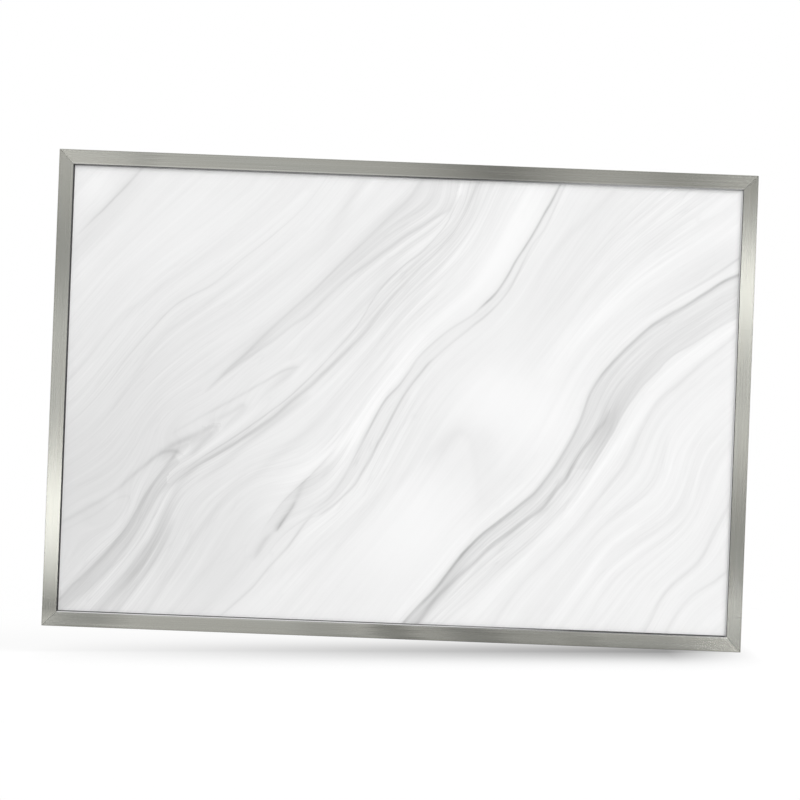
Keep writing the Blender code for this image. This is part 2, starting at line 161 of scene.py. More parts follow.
# Painted dark reflections on the rails: the middle, half of the length, and how dark on the bottom and the
# top rail. Streaks reach out of their ends by a length of their own, and a share of the length is dark in
# full
RAIL_DARK_REFLECTIONS = (
    (-0.425, 0.070, 0.26, 0.00),
    (-0.365, 0.025, 0.00, 0.10),
    (-0.090, 0.055, 0.12, 0.00),
    (0.005, 0.040, 0.32, 0.00),
    (0.118, 0.050, 0.22, 0.10),
    (0.258, 0.035, 0.12, 0.00),
    (0.385, 0.060, 0.00, 0.08),
)
DARK_REFLECTION_STREAKS = 0.09
DARK_REFLECTION_FULL_SHARE = 0.3
BLACK = (0.0, 0.0, 0.0)

# Hardboard. The mesh print on it is a wave both ways, with so many radians in a metre
FIBRE_CELL = 0.0016
HARDBOARD_CLOUD_CELL = 0.09
FLECK_CELL = (0.0035, 0.0035, 0.0011)
FLECK_SPREAD = (0.62, 0.75)
FLECK_SHARE = 0.7
MESH_PRINT_WAVE = 2600
HARDBOARD_COLOURS = ((0.245, 0.138, 0.070), (0.330, 0.196, 0.106))
FIBRE_BROWN = (0.33, 0.22, 0.135)
FLECK_BROWN = (0.10, 0.056, 0.030)
HARDBOARD_ROUGHNESS = (0.7, 0.9)
HARDBOARD_HEIGHT_SHARE = 0.6
HARDBOARD_BUMP = (0.5, 0.00012)

# Zinc plate, spring steel, nickel wire and rubber
ZINC_CAST_CELL = 0.012
ZINC_CRYSTAL_CELL = 0.0009
ZINC_COLOURS = ((0.42, 0.45, 0.48), (0.55, 0.51, 0.40))
ZINC_ROUGHNESS = (0.24, 0.40)
ZINC_BUMP = (0.2, 0.00002)
STEEL_CAST_CELL = (0.02, 0.01, 0.02)
STEEL_GRAIN_CELL = 0.0011
STEEL_COLOURS = ((0.055, 0.07, 0.11), (0.12, 0.10, 0.085))
STEEL_ROUGHNESS = (0.25, 0.45)
WIRE_PATCH_CELL = 0.004
WIRE_COLOURS = ((0.48, 0.465, 0.425), (0.64, 0.62, 0.57))
WIRE_ROUGHNESS = (0.08, 0.30)
RUBBER_GRAIN_CELL = 0.0008
RUBBER_DUST_CELL = 0.005
RUBBER_DUST_SPREAD = (0.4, 0.7)
RUBBER_DUST_SHARE = 0.5
RUBBER_COLOURS = ((0.028, 0.028, 0.030), (0.075, 0.073, 0.070))
RUBBER_ROUGHNESS = (0.6, 0.8)
RUBBER_BUMP = (0.4, 0.0001)

# The D-ring's wire: its radius, half of its straight bar, its small bends, how far the bow's middle lies
# below the bar, and the steps of a bend, of the bow and round the wire
RING_WIRE_RADIUS = 0.0012
RING_BAR_HALF = 0.0061
RING_BEND_RADIUS = 0.002
RING_BOW_BELOW = 0.0109
RING_BEND_STEPS = 8
RING_BOW_STEPS = 36
RING_WIRE_STEPS = 20

# The sheet's grid, the steps between two points of a curve, and how far a vein is measured and what stands
# beyond that, in millimetres
SHEET_COLUMNS = 380
SHEET_ROWS = 253
CURVE_STEPS = 6
VEIN_REACH = 75.0
FAR = 400.0
LEAST_GAP = 1e-6
PLACES_AT_ONCE = 6000
# A vein fades out between these counts of its half width. Its soft skirt is so wide, and so dark as a share
FADE = (2.0, 3.5)
SKIRT_WIDTH = 2.6
SKIRT_SHARE = 0.22
LAYER_NAMES = ("first_veins", "second_veins", "third_veins", "fourth_veins", "fifth_veins")

# The stone's noises: their cells across and along the grain in millimetres, and where in the noise they are
# read. The shares say how much of each one goes into the lightness
STREAKS = (8, 240, 0.5)
STREAKS_SHARE = 0.13
FINE_STREAKS = (2.4, 150, 3.5)
FINE_STREAKS_SHARE = 0.08
BROAD_BANDS = (26, 300, 7.5)
BROAD_BANDS_SHARE = 0.075
THREADS = (11, 200, 19.5)
THREAD_WIDTH = 0.022
THREADS_SHARE = 0.018
# A vein's edge wavers by a share of its half width. The vein is paler in places, down to its least share
WAVER = (5, 26, 11.5)
WAVER_SHARE = 0.7
PALE_PLACES = (3, 34, 15.5)
PALE_SPREAD = (0.25, 0.7)
PALE_SHARE = 0.5
LEAST_VEIN_SHARE = 0.72
SIDE_STEEPNESS = 0.6
STONE_WHITEST = 0.985
EYE_POWER = 2.2
STONE_ROUGHNESS = (0.36, 0.46)

# Veins in millimetres from the board's middle. A point is right, up and the share of the vein's darkness
# there, which is left out where it is 1
LONG_VEIN = (
    (-106, 312, 0.3), (-122, 286, 0.4), (-145, 256, 0.5), (-180, 222, 0.6), (-225, 184, 0.7),
    (-262, 150, 0.8), (-300, 128, 1.1), (-320, 112), (-340, 89), (-360, 65), (-380, 39), (-400, 10, 0.8),
    (-425, -22, 0.6), (-466, -64, 0.4),
)
WEDGE_TOP = (
    (24, 314, 0.6), (2, 279, 0.8), (-18, 258, 0.8), (-37, 238, 0.9), (-57, 218, 0.9), (-77, 197, 0.9),
    (-97, 176, 0.8), (-117, 153, 0.8), (-137, 134, 0.9), (-157, 115, 0.9), (-177, 95), (-198, 73, 1.4),
    (-217, 53, 1.5), (-237, 34, 1.3), (-256, 13, 0.6), (-271, -1, 0),
)
WEDGE_FOOT = (
    (64, 280, 0.3), (57, 265, 0.9), (48, 258), (35, 250), (20, 239), (0, 226), (-20, 210), (-40, 195, 0.9),
    (-60, 179, 0.9), (-80, 163, 0.8), (-100, 144, 0.8), (-116, 127, 0.9), (-130, 112, 0.8), (-150, 98, 0.7),
    (-175, 77, 0.7), (-200, 58, 0.7), (-220, 43, 0.7), (-240, 28, 0.7), (-256, 13, 0.3), (-268, 0, 0),
)
PAIR_LEFT = (
    (212, 312), (206, 300, 1.1), (196, 279, 1.6), (190, 268, 1.7), (176, 240, 1.4), (164, 219, 1.4),
    (152, 199, 1.4), (142, 179, 1.3), (131, 160, 1.2), (122, 148, 1.6), (113, 139, 1.5), (104, 130, 0.8),
    (95, 121, 0.5), (66, 101, 0.5), (43, 81, 0.5), (23, 60, 0.5), (10, 39, 0.6), (-2, 21, 0.8),
    (-18, 3, 1.1), (-30, -18, 1.1), (-40, -38, 1.1), (-50, -59, 0.9), (-59, -79, 0.7), (-69, -100, 0.5),
    (-80, -120, 0.5), (-94, -139, 0.4), (-110, -152, 0.2), (-122, -162, 0),
)
PAIR_RIGHT = (
    (218, 312, 0.4), (205, 280, 0.6), (197, 260, 0.6), (187, 240, 0.5), (173, 220, 0.6), (163, 200, 0.7),
    (154, 180, 0.7), (145, 160, 0.7), (131, 140, 0.7), (112, 120), (100, 110), (89, 100, 0.7),
    (66, 80, 0.5), (45, 60, 0.4), (36, 51, 0.9), (28, 40), (13, 20, 0.9), (1, 0), (-9, -20, 1.1),
    (-18, -40), (-28, -60, 1.1), (-37, -80), (-48, -100, 1.1), (-58, -118, 0.9), (-70, -131, 0.9),
    (-85, -146, 0.9), (-99, -157, 0.7), (-108, -163, 0.2), (-117, -165, 0.5), (-130, -182),
    (-145, -205, 0.9), (-156, -218, 0.7), (-174, -239, 0.6), (-192, -263, 0.5), (-212, -283, 0.5),
    (-239, -308, 0.3),
)
GREAT_TOP = (
    (470, 196, 0.9), (440, 182, 1.1), (418, 167, 1.1), (387, 146), (360, 129, 1.1), (340, 115),
    (322, 98, 0.9), (300, 76, 0.8), (281, 54, 0.75), (270, 39, 0.7), (260, 21, 0.65), (253, 0, 0.6),
    (247, -20, 0.6), (238, -40, 0.6), (228, -60, 0.65), (217, -80, 0.65), (203, -100, 0.7),
    (188, -120, 0.85), (166, -140), (142, -160, 1.1), (117, -181, 1.3), (95, -205, 1.4), (76, -231, 1.2),
    (57, -258), (34, -283, 0.8), (10, -311, 0.6),
)
GREAT_INNER = (
    (286, -6, 0.4), (280, -19, 0.8), (272, -30, 0.8), (264, -43, 0.7), (253, -57, 0.8), (245, -70),
    (238, -84, 1.3), (230, -100, 1.1), (220, -113), (212, -124, 1.2), (202, -138, 1.2), (191, -148, 1.1),
    (180, -156, 1.1), (162, -171, 1.3), (132, -195, 1.1), (109, -219, 0.9), (85, -242, 0.9),
    (60, -269, 0.9), (40, -297, 0.8), (30, -312, 0.8),
)
GREAT_FOOT = (
    (470, 138, 0.3), (440, 121, 0.4), (409, 101, 0.7), (393, 90, 1.1), (374, 78, 1.1), (361, 66, 0.9),
    (353, 56, 0.8), (342, 44, 0.7), (331, 32, 0.6), (320, 16, 0.5), (311, 2, 0.5), (301, -16, 0.6),
    (291, -37, 0.9), (280, -56, 1.2), (270, -73, 1.2), (262, -88), (253, -103, 0.7), (245, -117, 0.5),
    (233, -135, 0.3), (220, -151, 0.2), (207, -166, 0.2), (193, -181, 0.2), (178, -196, 0.2),
    (158, -213, 0.2), (130, -240, 0.1), (110, -262, 0),
)
SOFT_RIGHT = (
    (468, 122, 0.6), (446, 98), (431, 84, 0.9), (412, 68, 0.9), (396, 52, 0.9), (380, 37), (364, 24),
    (354, 13), (345, 0, 0.9), (337, -16, 0.9), (328, -36, 0.9), (319, -60, 0.9), (309, -79, 0.9),
    (293, -100, 0.9), (280, -119, 0.8), (266, -139, 0.8), (253, -159, 0.8), (238, -176, 0.8),
    (220, -197, 0.7), (202, -216, 0.7), (180, -240, 0.7), (160, -268, 0.7), (138, -304, 0.7),
)
SOFT_FAR = (
    (372, -30, 0), (367, -46, 0.5), (364, -64, 0.8), (361, -86, 0.8), (353, -103, 0.9), (342, -115),
    (326, -127, 1.1), (310, -139, 1.1), (297, -151, 1.1), (283, -163), (271, -177), (260, -193, 0.9),
    (245, -214, 0.8), (228, -238, 0.8), (211, -262, 0.8), (196, -281, 0.8), (178, -304, 0.8),
)
CORNER_LINE = (
    (462, -112, 0.5), (454, -129, 0.7), (443, -151, 0.8), (434, -171, 0.9), (426, -190), (417, -206),
    (404, -219), (391, -230, 0.9), (378, -243, 0.9), (368, -257, 0.9), (360, -274, 0.8), (353, -290, 0.8),
    (345, -306, 0.8),
)
DARK_LEFT = (
    (102, 316, 0.5), (94, 300, 0.9), (88, 284), (79, 262, 0.8), (71, 245, 0.7), (61, 228, 0.8),
    (42, 205, 0.8), (20, 183, 0.8), (0, 160, 0.8), (-19, 138, 0.8), (-35, 116, 0.9), (-49, 96), (-64, 78),
    (-85, 55), (-105, 35), (-125, 15), (-145, -3, 1.1), (-162, -19, 1.1), (-180, -35, 1.1),
    (-201, -51, 1.2), (-225, -68, 1.2), (-248, -83, 1.1), (-270, -97, 0.9), (-287, -110, 0.7),
    (-303, -123, 0.4), (-318, -136, 0),
)
LIMB_LEFT = (
    (-298, -79, 0), (-304, -83, 0.8), (-310, -92), (-318, -103), (-326, -114), (-334, -126, 1.1),
    (-344, -143, 1.1), (-355, -165, 1.1), (-367, -186), (-381, -206), (-399, -229, 0.9), (-419, -250, 0.8),
    (-437, -268, 0.9), (-452, -285), (-472, -306),
)
LIMB_RIGHT = (
    (-290, -102, 0), (-302, -113, 0.6), (-315, -128), (-328, -146), (-338, -164), (-347, -181),
    (-357, -198), (-367, -214), (-379, -230, 0.8), (-392, -247, 0.6), (-408, -265, 0.5), (-425, -282, 0.4),
    (-450, -304, 0.4),
)
SMUDGE = (
    (-276, -100, 0.2), (-296, -124, 0.4), (-308, -150, 0.5), (-318, -174, 0.8), (-325, -192),
    (-335, -212, 1.2), (-346, -232, 1.3), (-357, -249, 1.5), (-370, -266, 1.3), (-386, -285, 1.1),
    (-404, -308),
)
LEFT_LIMB = (
    (-298, -84, 0.4), (-305, -81, 0.9), (-314, -81, 1.2), (-325, -85, 1.2), (-336, -93, 1.2), (-348, -104),
    (-364, -118, 0.8), (-381, -135, 0.7), (-401, -150, 0.6), (-420, -162, 0.6), (-438, -173, 0.6),
    (-468, -190, 0.6),
)
INNER_FOLD = (
    (-466, -203, 0.6), (-444, -190, 0.8), (-428, -181), (-414, -173), (-400, -163), (-388, -153),
    (-378, -147), (-368, -145), (-365, -151), (-369, -168, 0.7), (-378, -190, 0),
)
FOLD = (
    (-332, -86, 0), (-320, -80, 0.7), (-309, -73), (-298, -67), (-284, -60), (-272, -54, 0.9), (-260, -47),
    (-252, -45, 0.8), (-250, -49, 0.6), (-259, -58, 0.6), (-270, -69, 0.6), (-279, -80, 0.4),
    (-285, -88, 0),
)
NEXT_FOLD = (
    (-264, -42, 0), (-250, -35, 0.6), (-238, -29, 0.8), (-225, -21, 0.9), (-216, -15), (-214, -18, 0.8),
    (-222, -28, 0.7), (-234, -40, 0.5), (-244, -50, 0),
)
OUTER_FOLD = (
    (-145, 40, 0.6), (-155, 37), (-166, 32), (-187, 19, 0.9), (-209, 5, 0.9), (-230, -8, 0.8),
    (-252, -21, 0.7), (-271, -32, 0.6), (-293, -46, 0.5), (-318, -62, 0),
)
LAST_LINE = (
    (466, -212, 0.6), (451, -222, 0.9), (439, -232), (423, -242, 0.9), (411, -251, 0.8), (401, -262, 0.8),
    (391, -276, 0.8), (382, -291, 0.8), (374, -308, 0.8),
)
LIGHT_BEND = (
    (440, -34, 0.5), (423, -54, 0.9), (414, -76), (409, -104), (403, -130), (392, -148), (370, -167),
    (339, -189), (318, -206), (298, -224, 0.8), (270, -262, 0.6), (250, -300, 0.4),
)
SOFT_LEFT = (
    (-200, -97, 0.2), (-217, -118, 0.5), (-236, -143, 0.8), (-252, -166), (-266, -186), (-282, -212),
    (-300, -242, 0.9), (-318, -270, 0.8), (-338, -304, 0.8),
)
CORNER_STREAK = (
    (-362, 311, 0.5), (-371, 298, 0.8), (-384, 282), (-400, 264), (-415, 247, 1.1), (-428, 234, 0.9),
    (-440, 221, 0.5), (-452, 208, 0),
)
COMPANION = (
    (-140, 232, 0.5), (-185, 192, 0.8), (-225, 158, 0.9), (-252, 137), (-298, 99), (-322, 82, 0.9),
    (-346, 54, 0.9), (-368, 15, 0.7), (-388, -18, 0.4), (-405, -42, 0),
)
CRACK_EDGE = (
    (-62, -36, 0), (-80, -62, 0.2), (-95, -80, 0.6), (-118, -106), (-134, -122), (-147, -135),
    (-159, -149, 0.8), (-168, -163, 0.5), (-180, -182, 0.2), (-190, -196, 0),
)
GREAT_OUTER = (
    (470, 222, 1.2), (457, 213, 1.2), (436, 197), (416, 183, 0.8), (396, 170, 0.8), (378, 159, 0.7),
    (359, 146, 0.5), (336, 132, 0.2), (322, 122, 0),
)
DARK_UPPER = (
    (72, 284, 0.5), (63, 264, 0.8), (54, 244), (39, 224, 0.9), (20, 203, 0.9), (0, 187, 0.9),
    (-20, 167, 0.9), (-40, 141, 0.8), (-55, 113, 0.8), (-70, 90, 0.8), (-90, 66, 0.8), (-110, 43, 0.9),
    (-130, 21), (-150, 1, 1.1), (-166, -13, 1.1), (-185, -28, 1.1), (-207, -45, 1.1), (-230, -62, 1.1),
    (-252, -77), (-272, -91, 0.7), (-290, -105, 0.4), (-302, -116, 0),
)
CRACK = (
    (-122, -106, 0), (-130, -122, 0.6), (-136, -138, 0.9), (-143, -152, 1.2), (-152, -166, 1.4),
    (-160, -178, 1.5), (-167, -187, 0.6), (-175, -195, 0.9), (-182, -205), (-188, -216, 0.8),
    (-194, -228, 0),
)
GREAT_SHADE = (
    (300, 14, 0), (294, -8, 0.8), (288, -30), (276, -54, 0.9), (265, -74), (256, -88, 0.8),
    (246, -104, 0.3), (238, -118, 0),
)
CRACK_MIDDLE = (
    (-138, -142, 0), (-142, -152, 0.8), (-149, -163, 0.8), (-156, -174, 1.3), (-160, -181, 1.2),
    (-163, -187, 0),
)

# A row is: half width, darkness, shade on its lower right side, how far the shade reaches, the points.
# Layers keep veins apart that lie close to each other.
FIRST_LAYER = (
    (1.1, 0.035, 0, 1, LONG_VEIN),
    (2.2, 0.034, 0, 1, WEDGE_TOP),
    (1.6, 0.085, 0, 1, PAIR_LEFT),
    (2.0, 0.115, 0, 1, GREAT_TOP),
    (3.0, 0.016, 0, 1, SOFT_FAR),
)
SECOND_LAYER = (
    # short streak in the top left corner
    (1.8, 0.06, 0, 1, CORNER_STREAK),
    # soft companion of the long thin vein
    (3.0, 0.018, 0, 1, COMPANION),
    (2.2, 0.042, 0, 1, WEDGE_FOOT),
    (1.6, 0.07, 0, 1, PAIR_RIGHT),
    (2.6, 0.09, 0.03, 12, GREAT_INNER),
    (3.0, 0.032, 0.005, 22, SOFT_RIGHT),
    (2.6, 0.042, 0, 1, CORNER_LINE),
    # faint fold inside the left one
    (1.8, 0.015, 0, 1, INNER_FOLD),
)
THIRD_LAYER = (
    (2.6, 0.08, 0, 1, DARK_LEFT),
    # edge that runs into the crack
    (1.0, 0.035, 0.055, 13, CRACK_EDGE),
    (1.5, 0.032, 0, 1, GREAT_FOOT),
    # left limb of the dark fold
    (2.6, 0.055, 0, 1, LEFT_LIMB),
    # last soft line by the lower right corner
    (2.2, 0.032, 0, 1, LAST_LINE),
)
FOURTH_LAYER = (
    # thin line above the great vein
    (1.8, 0.055, 0, 1, GREAT_OUTER),
    # thin upper line of the dark vein on the left
    (1.1, 0.055, 0, 1, DARK_UPPER),
    (2.4, 0.06, 0, 1, LIMB_LEFT),
    # the crack left of the middle
    (3.4, 0.052, 0, 1, CRACK),
    # dark right side of the great vein
    (3.6, 0.035, 0, 1, GREAT_SHADE),
)
FIFTH_LAYER = (
    (3.0, 0.02, 0, 1, LIMB_RIGHT),
    # the fold outside the dark one
    (3.6, 0.06, 0, 1, FOLD),
    # the next fold outside
    (3.4, 0.038, 0, 1, NEXT_FOLD),
    # upper limb of the outermost fold
    (2.0, 0.042, 0, 1, OUTER_FOLD),
    # the crack's black middle
    (1.3, 0.065, 0, 1, CRACK_MIDDLE),
)
VEIN_LAYERS = (FIRST_LAYER, SECOND_LAYER, THIRD_LAYER, FOURTH_LAYER, FIFTH_LAYER)

# Wide soft streaks: half width, darkness, the points
SOFT_STREAKS = (
    (15, 0.03, ((-345, 314, 0.5), (-385, 268), (-420, 222, 1.1), (-472, 168))),
    (5, 0.012, ((-240, 213, 0.4), (-310, 160, 0.9), (-360, 122), (-400, 84, 1.1), (-430, 42),
        (-466, -4, 0.9))),
    (8, 0.028, ((-56, 316), (-76, 278), (-92, 246), (-112, 214, 0.7), (-145, 184, 0.5), (-200, 140, 0.3),
        (-260, 92, 0))),
    # the smudge low on the left and its two companions
    (5.5, 0.08, SMUDGE),
    (5, 0.07, ((-302, -168, 0), (-312, -195, 0.8), (-326, -225), (-345, -254), (-362, -278), (-382, -306))),
    (3.5, 0.055, ((-336, -202, 0), (-348, -222, 0.8), (-362, -243), (-378, -262), (-395, -282, 0.7),
        (-414, -305, 0.6))),
    (5, 0.03, SOFT_LEFT),
    # the swirl in the middle
    (17, 0.016, ((36, -90, 0), (48, -74, 0.6), (60, -57), (80, -43), (100, -40), (116, -50), (123, -75),
        (122, -105, 0.8), (118, -140, 0.6), (118, -176, 0))),
    (6, 0.012, ((52, -76, 0), (58, -66, 0.8), (68, -50), (82, -40), (95, -45, 0.8), (103, -62),
        (108, -90, 0.8), (112, -120, 0.5), (118, -158, 0))),
    # beside the dark vein on the left
    (5.5, 0.045, ((92, 314, 0.6), (72, 266), (54, 232), (13, 188), (-27, 143, 0.9), (-43, 121),
        (-57, 101, 0.8), (-75, 82, 0.5), (-95, 60, 0.2))),
    (7, 0.03, ((118, 312, 0.6), (95, 265, 0.8), (65, 217, 0.8), (28, 165, 0.8), (-2, 123, 0.9), (-18, 97),
        (-33, 74), (-49, 53), (-64, 31), (-80, 10), (-100, -18), (-117, -37), (-140, -60, 0.9),
        (-170, -86, 0.8), (-200, -115, 0.6), (-240, -152, 0.2))),
    (2.2, 0.02, ((126, 300, 0.5), (108, 250, 0.8), (92, 214), (80, 196), (60, 168, 0.8), (36, 140, 0.6),
        (8, 105, 0.5), (-10, 78, 0.6), (-25, 50, 0.5), (-45, 20, 0.3), (-62, -5, 0))),
    (1.6, 0.015, ((118, 290, 0.4), (98, 245, 0.9), (82, 214), (66, 190), (48, 168, 0.8), (20, 140, 0.5),
        (-5, 110, 0))),
    (14, 0.012, ((34, 228, 0.8), (-8, 186), (-50, 140), (-90, 95), (-130, 55, 0.8), (-172, 14, 0.5),
        (-210, -18, 0.2))),
    (5, 0.05, ((-128, 0, 0.4), (-150, -18), (-180, -43), (-210, -68, 0.8), (-240, -95, 0.6),
        (-275, -125, 0))),
    # grey right of the great vein's inner line
    (9, 0.02, ((262, -95, 0), (240, -125, 0.5), (215, -150, 0.9), (190, -180), (155, -212),
        (120, -245, 0.8), (90, -275, 0.7), (62, -306, 0.7))),
    # the great vein's streaky lower end
    (11, 0.05, ((122, -186, 0), (102, -210, 0.4), (84, -232), (66, -256), (48, -280), (26, -308))),
    # a third thread of the pair in the middle
    (1.8, 0.03, ((202, 262, 0), (174, 214, 0.6), (150, 172, 0.8), (124, 141), (108, 124), (92, 111, 0.4),
        (60, 72, 0), (22, 22, 0), (8, -3), (-2, -24, 0.8), (-14, -46, 0.4), (-26, -70, 0))),
    # right of the pair in the middle
    (5, 0.022, ((292, 312, 0.8), (275, 292, 1.2), (255, 268), (238, 250, 0.9), (220, 232, 0.7),
        (200, 206, 0.5), (182, 178, 0.2))),
    (14, 0.014, ((130, 112, 0), (105, 88, 0.5), (75, 62, 0.8), (50, 40), (32, 16), (16, -12), (0, -42, 0.8),
        (-16, -76, 0.5), (-35, -112, 0.2), (-50, -135, 0))),
    (9, 0.014, ((62, -53, 0), (32, -80, 0.8), (5, -108), (-30, -142), (-70, -180), (-110, -212),
        (-160, -245, 0.8), (-225, -288, 0.5))),
    (9, 0.018, ((-164, -180, 0.2), (-184, -210), (-208, -238), (-235, -268), (-265, -300))),
    # lower limb and tip of the outermost fold
    (4, 0.024, ((-146, 40, 0.8), (-155, 27), (-168, 16, 0.9), (-182, 3, 0.8), (-195, -11, 0.6),
        (-211, -24, 0.5), (-230, -40, 0.3), (-250, -58, 0))),
    (7, 0.02, ((-150, 36, 0.4), (-162, 26), (-178, 12, 0.8), (-200, -6, 0.4), (-225, -22, 0))),
    # the dark fold's inside
    (6, 0.042, ((-320, -90, 0.6), (-302, -78), (-286, -69), (-270, -61), (-259, -56, 0.8), (-270, -70, 0.7),
        (-282, -84, 0.7), (-296, -98, 0.5), (-310, -112, 0.2))),
    # the left limb's lower end
    (9, 0.03, ((-385, -222, 0), (-408, -250, 0.6), (-430, -275), (-456, -302))),
    # light streaks round the folds
    (3, -0.012, ((-220, 0, 0), (-200, 14, 0.3), (-175, 31, 0.6), (-155, 45, 0.9), (-135, 55),
        (-122, 60, 0.6), (-124, 54, 0.6), (-133, 42), (-145, 25, 0.9), (-160, 8, 0.6), (-185, -14, 0.5),
        (-215, -38, 0.4), (-245, -62, 0.7), (-272, -84, 0.8), (-290, -99, 0.6), (-315, -124, 0.4))),
    (1.6, -0.02, ((-325, -86, 0), (-312, -78, 0.7), (-298, -72), (-288, -68), (-285, -70), (-289, -80, 0.9),
        (-299, -92, 0.8), (-315, -112, 0.3), (-325, -126, 0))),
    # the bright band left of the pair in the middle
    (14, -0.024, ((168, 300), (148, 250), (122, 200), (95, 160), (62, 130), (30, 98), (0, 60),
        (-22, 20, 0.9), (-50, -30, 0.7), (-85, -68), (-120, -94), (-150, -124, 0.7), (-190, -165, 0.2))),
    # light beside the long thin vein
    (4, -0.015, ((-140, 280), (-185, 238), (-235, 196), (-285, 160, 0.8), (-330, 128, 0.6), (-370, 86, 0.5),
        (-405, 40, 0.3))),
    # light below the great vein and between the soft lines at the lower right
    (8, -0.022, ((470, 128), (420, 88), (385, 62), (350, 25), (325, -15), (300, -50), (272, -90),
        (240, -138), (205, -180, 0.8), (160, -235, 0.6), (110, -290, 0.4))),
    (2.5, -0.015, LIGHT_BEND),
    (6, -0.022, ((330, -160, 0.5), (300, -180), (280, -205), (262, -235), (235, -275, 0.8),
        (215, -306, 0.6))),
    # soft grey above the great vein
    (14, 0.012, ((470, 222, 1.2), (430, 200, 1.1), (390, 176), (350, 150), (315, 122, 0.8), (285, 92, 0.5),
        (262, 60, 0.2))),
    (14, -0.025, ((470, 268), (420, 240), (370, 212), (320, 178), (275, 135), (232, 92, 0.8),
        (205, 50, 0.5))),
)

# Fills between a vein's two edges and the great vein's darker core
WEDGE_FILL = 0.025
PAIR_FILL = 0.008
GREAT_VEIN_FILL = 0.045
LIMB_FILL = 0.05
# Between these depths below the board's middle the great vein's fill narrows to its inner line
NARROWS = (30.0, 85.0)
FILL_OVERRUN = 10.0
FILL_FADE = 0.15
GREAT_VEIN_CORE = (15, 0.03, ((440, 140, 0), (400, 112, 0.3), (352, 74, 0.6), (325, 42), (302, 5, 1.6),
    (288, -30, 1.2), (264, -70), (240, -104, 0.5), (215, -140, 0)))

# Soft patches of the ground: middle, long and short half sizes, lean in degrees, darkness
GROUND_PATCHES = (
    (-450, -130, 260, 160, 50, 0.074),
    (-405, -30, 80, 45, 50, -0.012),
    (-95, -98, 60, 22, 50, 0.02),
    (-250, -230, 120, 70, 55, 0.035),
    (-60, 170, 120, 50, 47, 0.025),
    (300, 255, 140, 75, 45, 0.015),
    (140, 15, 75, 60, 30, -0.03),
    (170, 60, 60, 30, 0, 0.01),
    (30, -170, 110, 70, 60, -0.03),
    (-40, -270, 90, 40, 20, 0.01),
    (200, -30, 60, 35, 60, -0.02),
    (-300, 225, 90, 45, 35, -0.012),
    (-425, 275, 30, 30, 0, -0.02),
    (160, 240, 110, 24, 58, -0.025),
    (70, -75, 50, 40, 30, 0.015),
    (410, 215, 60, 22, 38, 0.015),
    (-315, -195, 70, 30, 50, 0.015),
    (-205, 65, 40, 12, 45, 0.02),
    (210, 150, 60, 30, 50, 0.012),
)
GROUND_LIGHT = 0.942

# How streaky the stone is: everywhere, and in patches like those above
STREAKS_EVERYWHERE = 0.35
STREAKS_LEAST = 0.05
STREAK_PATCHES = (
    (40, 200, 170, 55, 52, 0.9),
    (-360, -220, 140, 60, 52, 1.0),
    (-250, -50, 110, 40, 38, 0.5),
    (-60, 190, 150, 30, 45, 0.35),
    (-360, 60, 150, 120, 45, 0.35),
    (350, 260, 110, 45, 48, 0.8),
    (380, 120, 110, 30, 35, 0.9),
    (270, -20, 110, 25, 65, 1.0),
    (140, -190, 140, 30, 45, 1.2),
    (350, -150, 150, 90, 60, 0.3),
    (-60, -90, 140, 50, 55, 0.9),
    (125, 205, 110, 24, 62, -0.5),
    (-262, -48, 75, 32, 35, -0.5),
    (-330, 220, 100, 50, 45, -0.2),
    (140, 0, 90, 70, 0, -0.3),
    (10, -200, 120, 60, 50, -0.3),
)

# Where the veins' edges don't waver: in the tight folds
CALM_PATCHES = (
    (-262, -48, 75, 32, 35, 1.2),
)

# The grain's level, in millimetres across it, along the veins that it follows
PLATE_SOFTNESS = 3000.0
GRAIN_LINES = (
    (LONG_VEIN, -300), (WEDGE_TOP, -198), (WEDGE_FOOT, -172), (OUTER_FOLD, -150), (NEXT_FOLD, -160),
    (FOLD, -170), (LEFT_LIMB, -180), (LIMB_LEFT, -175), (INNER_FOLD, -192), (LIMB_RIGHT, -125),
    (DARK_LEFT, -112), (SMUDGE, -95), (SOFT_LEFT, -45), (PAIR_LEFT, -10), (PAIR_RIGHT, 5), (GREAT_TOP, 195),
    (GREAT_INNER, 214), (GREAT_FOOT, 232), (SOFT_RIGHT, 272), (SOFT_FAR, 315), (LIGHT_BEND, 365),
    (CORNER_LINE, 435), (LAST_LINE, 478), (CORNER_STREAK, -470),
)


def ease(value, low, high):
    """A smooth step from 0 at low to 1 at high."""
    share = np.clip((value - low) / (high - low), 0, 1)
    return share * share * (3 - 2 * share)


class Wire:
    """One output in a node graph. The usual signs add the Math nodes that they stand for."""

    def __init__(self, graph, socket):
        self.graph = graph
        self.socket = socket

    def math(self, operation, *others, clamp=False):
        settings = {"operation": operation, "use_clamp": clamp}
        return self.graph.node("ShaderNodeMath", settings, dict(enumerate((self, *others))))

    def __add__(self, other):
        return self.math("ADD", other)

    def __sub__(self, other):
        return self.math("SUBTRACT", other)

    def __mul__(self, other):
        return self.math("MULTIPLY", other)

    def __truediv__(self, other):
        return self.math("DIVIDE", other)

    def __pow__(self, other):
        return self.math("POWER", other)

    def __rsub__(self, other):
        return self * -1 + other

    __radd__ = __add__
    __rmul__ = __mul__

    def over(self, low, high):
        """0 at low, 1 at high and straight between them, cut off outside."""
        inputs = {"Value": self, "From Min": low, "From Max": high}
        return self.graph.node("ShaderNodeMapRange", {"clamp": True}, inputs)

    def between(self, low, high):
        """Low where the wire is 0 and high where it is 1."""
        return self * (high - low) + low

    def size(self):
        return self.math("ABSOLUTE")

    def bell(self):
        """1 at 0, falling off on both sides as a bell curve."""
        return (self * self * -1).math("EXPONENT")


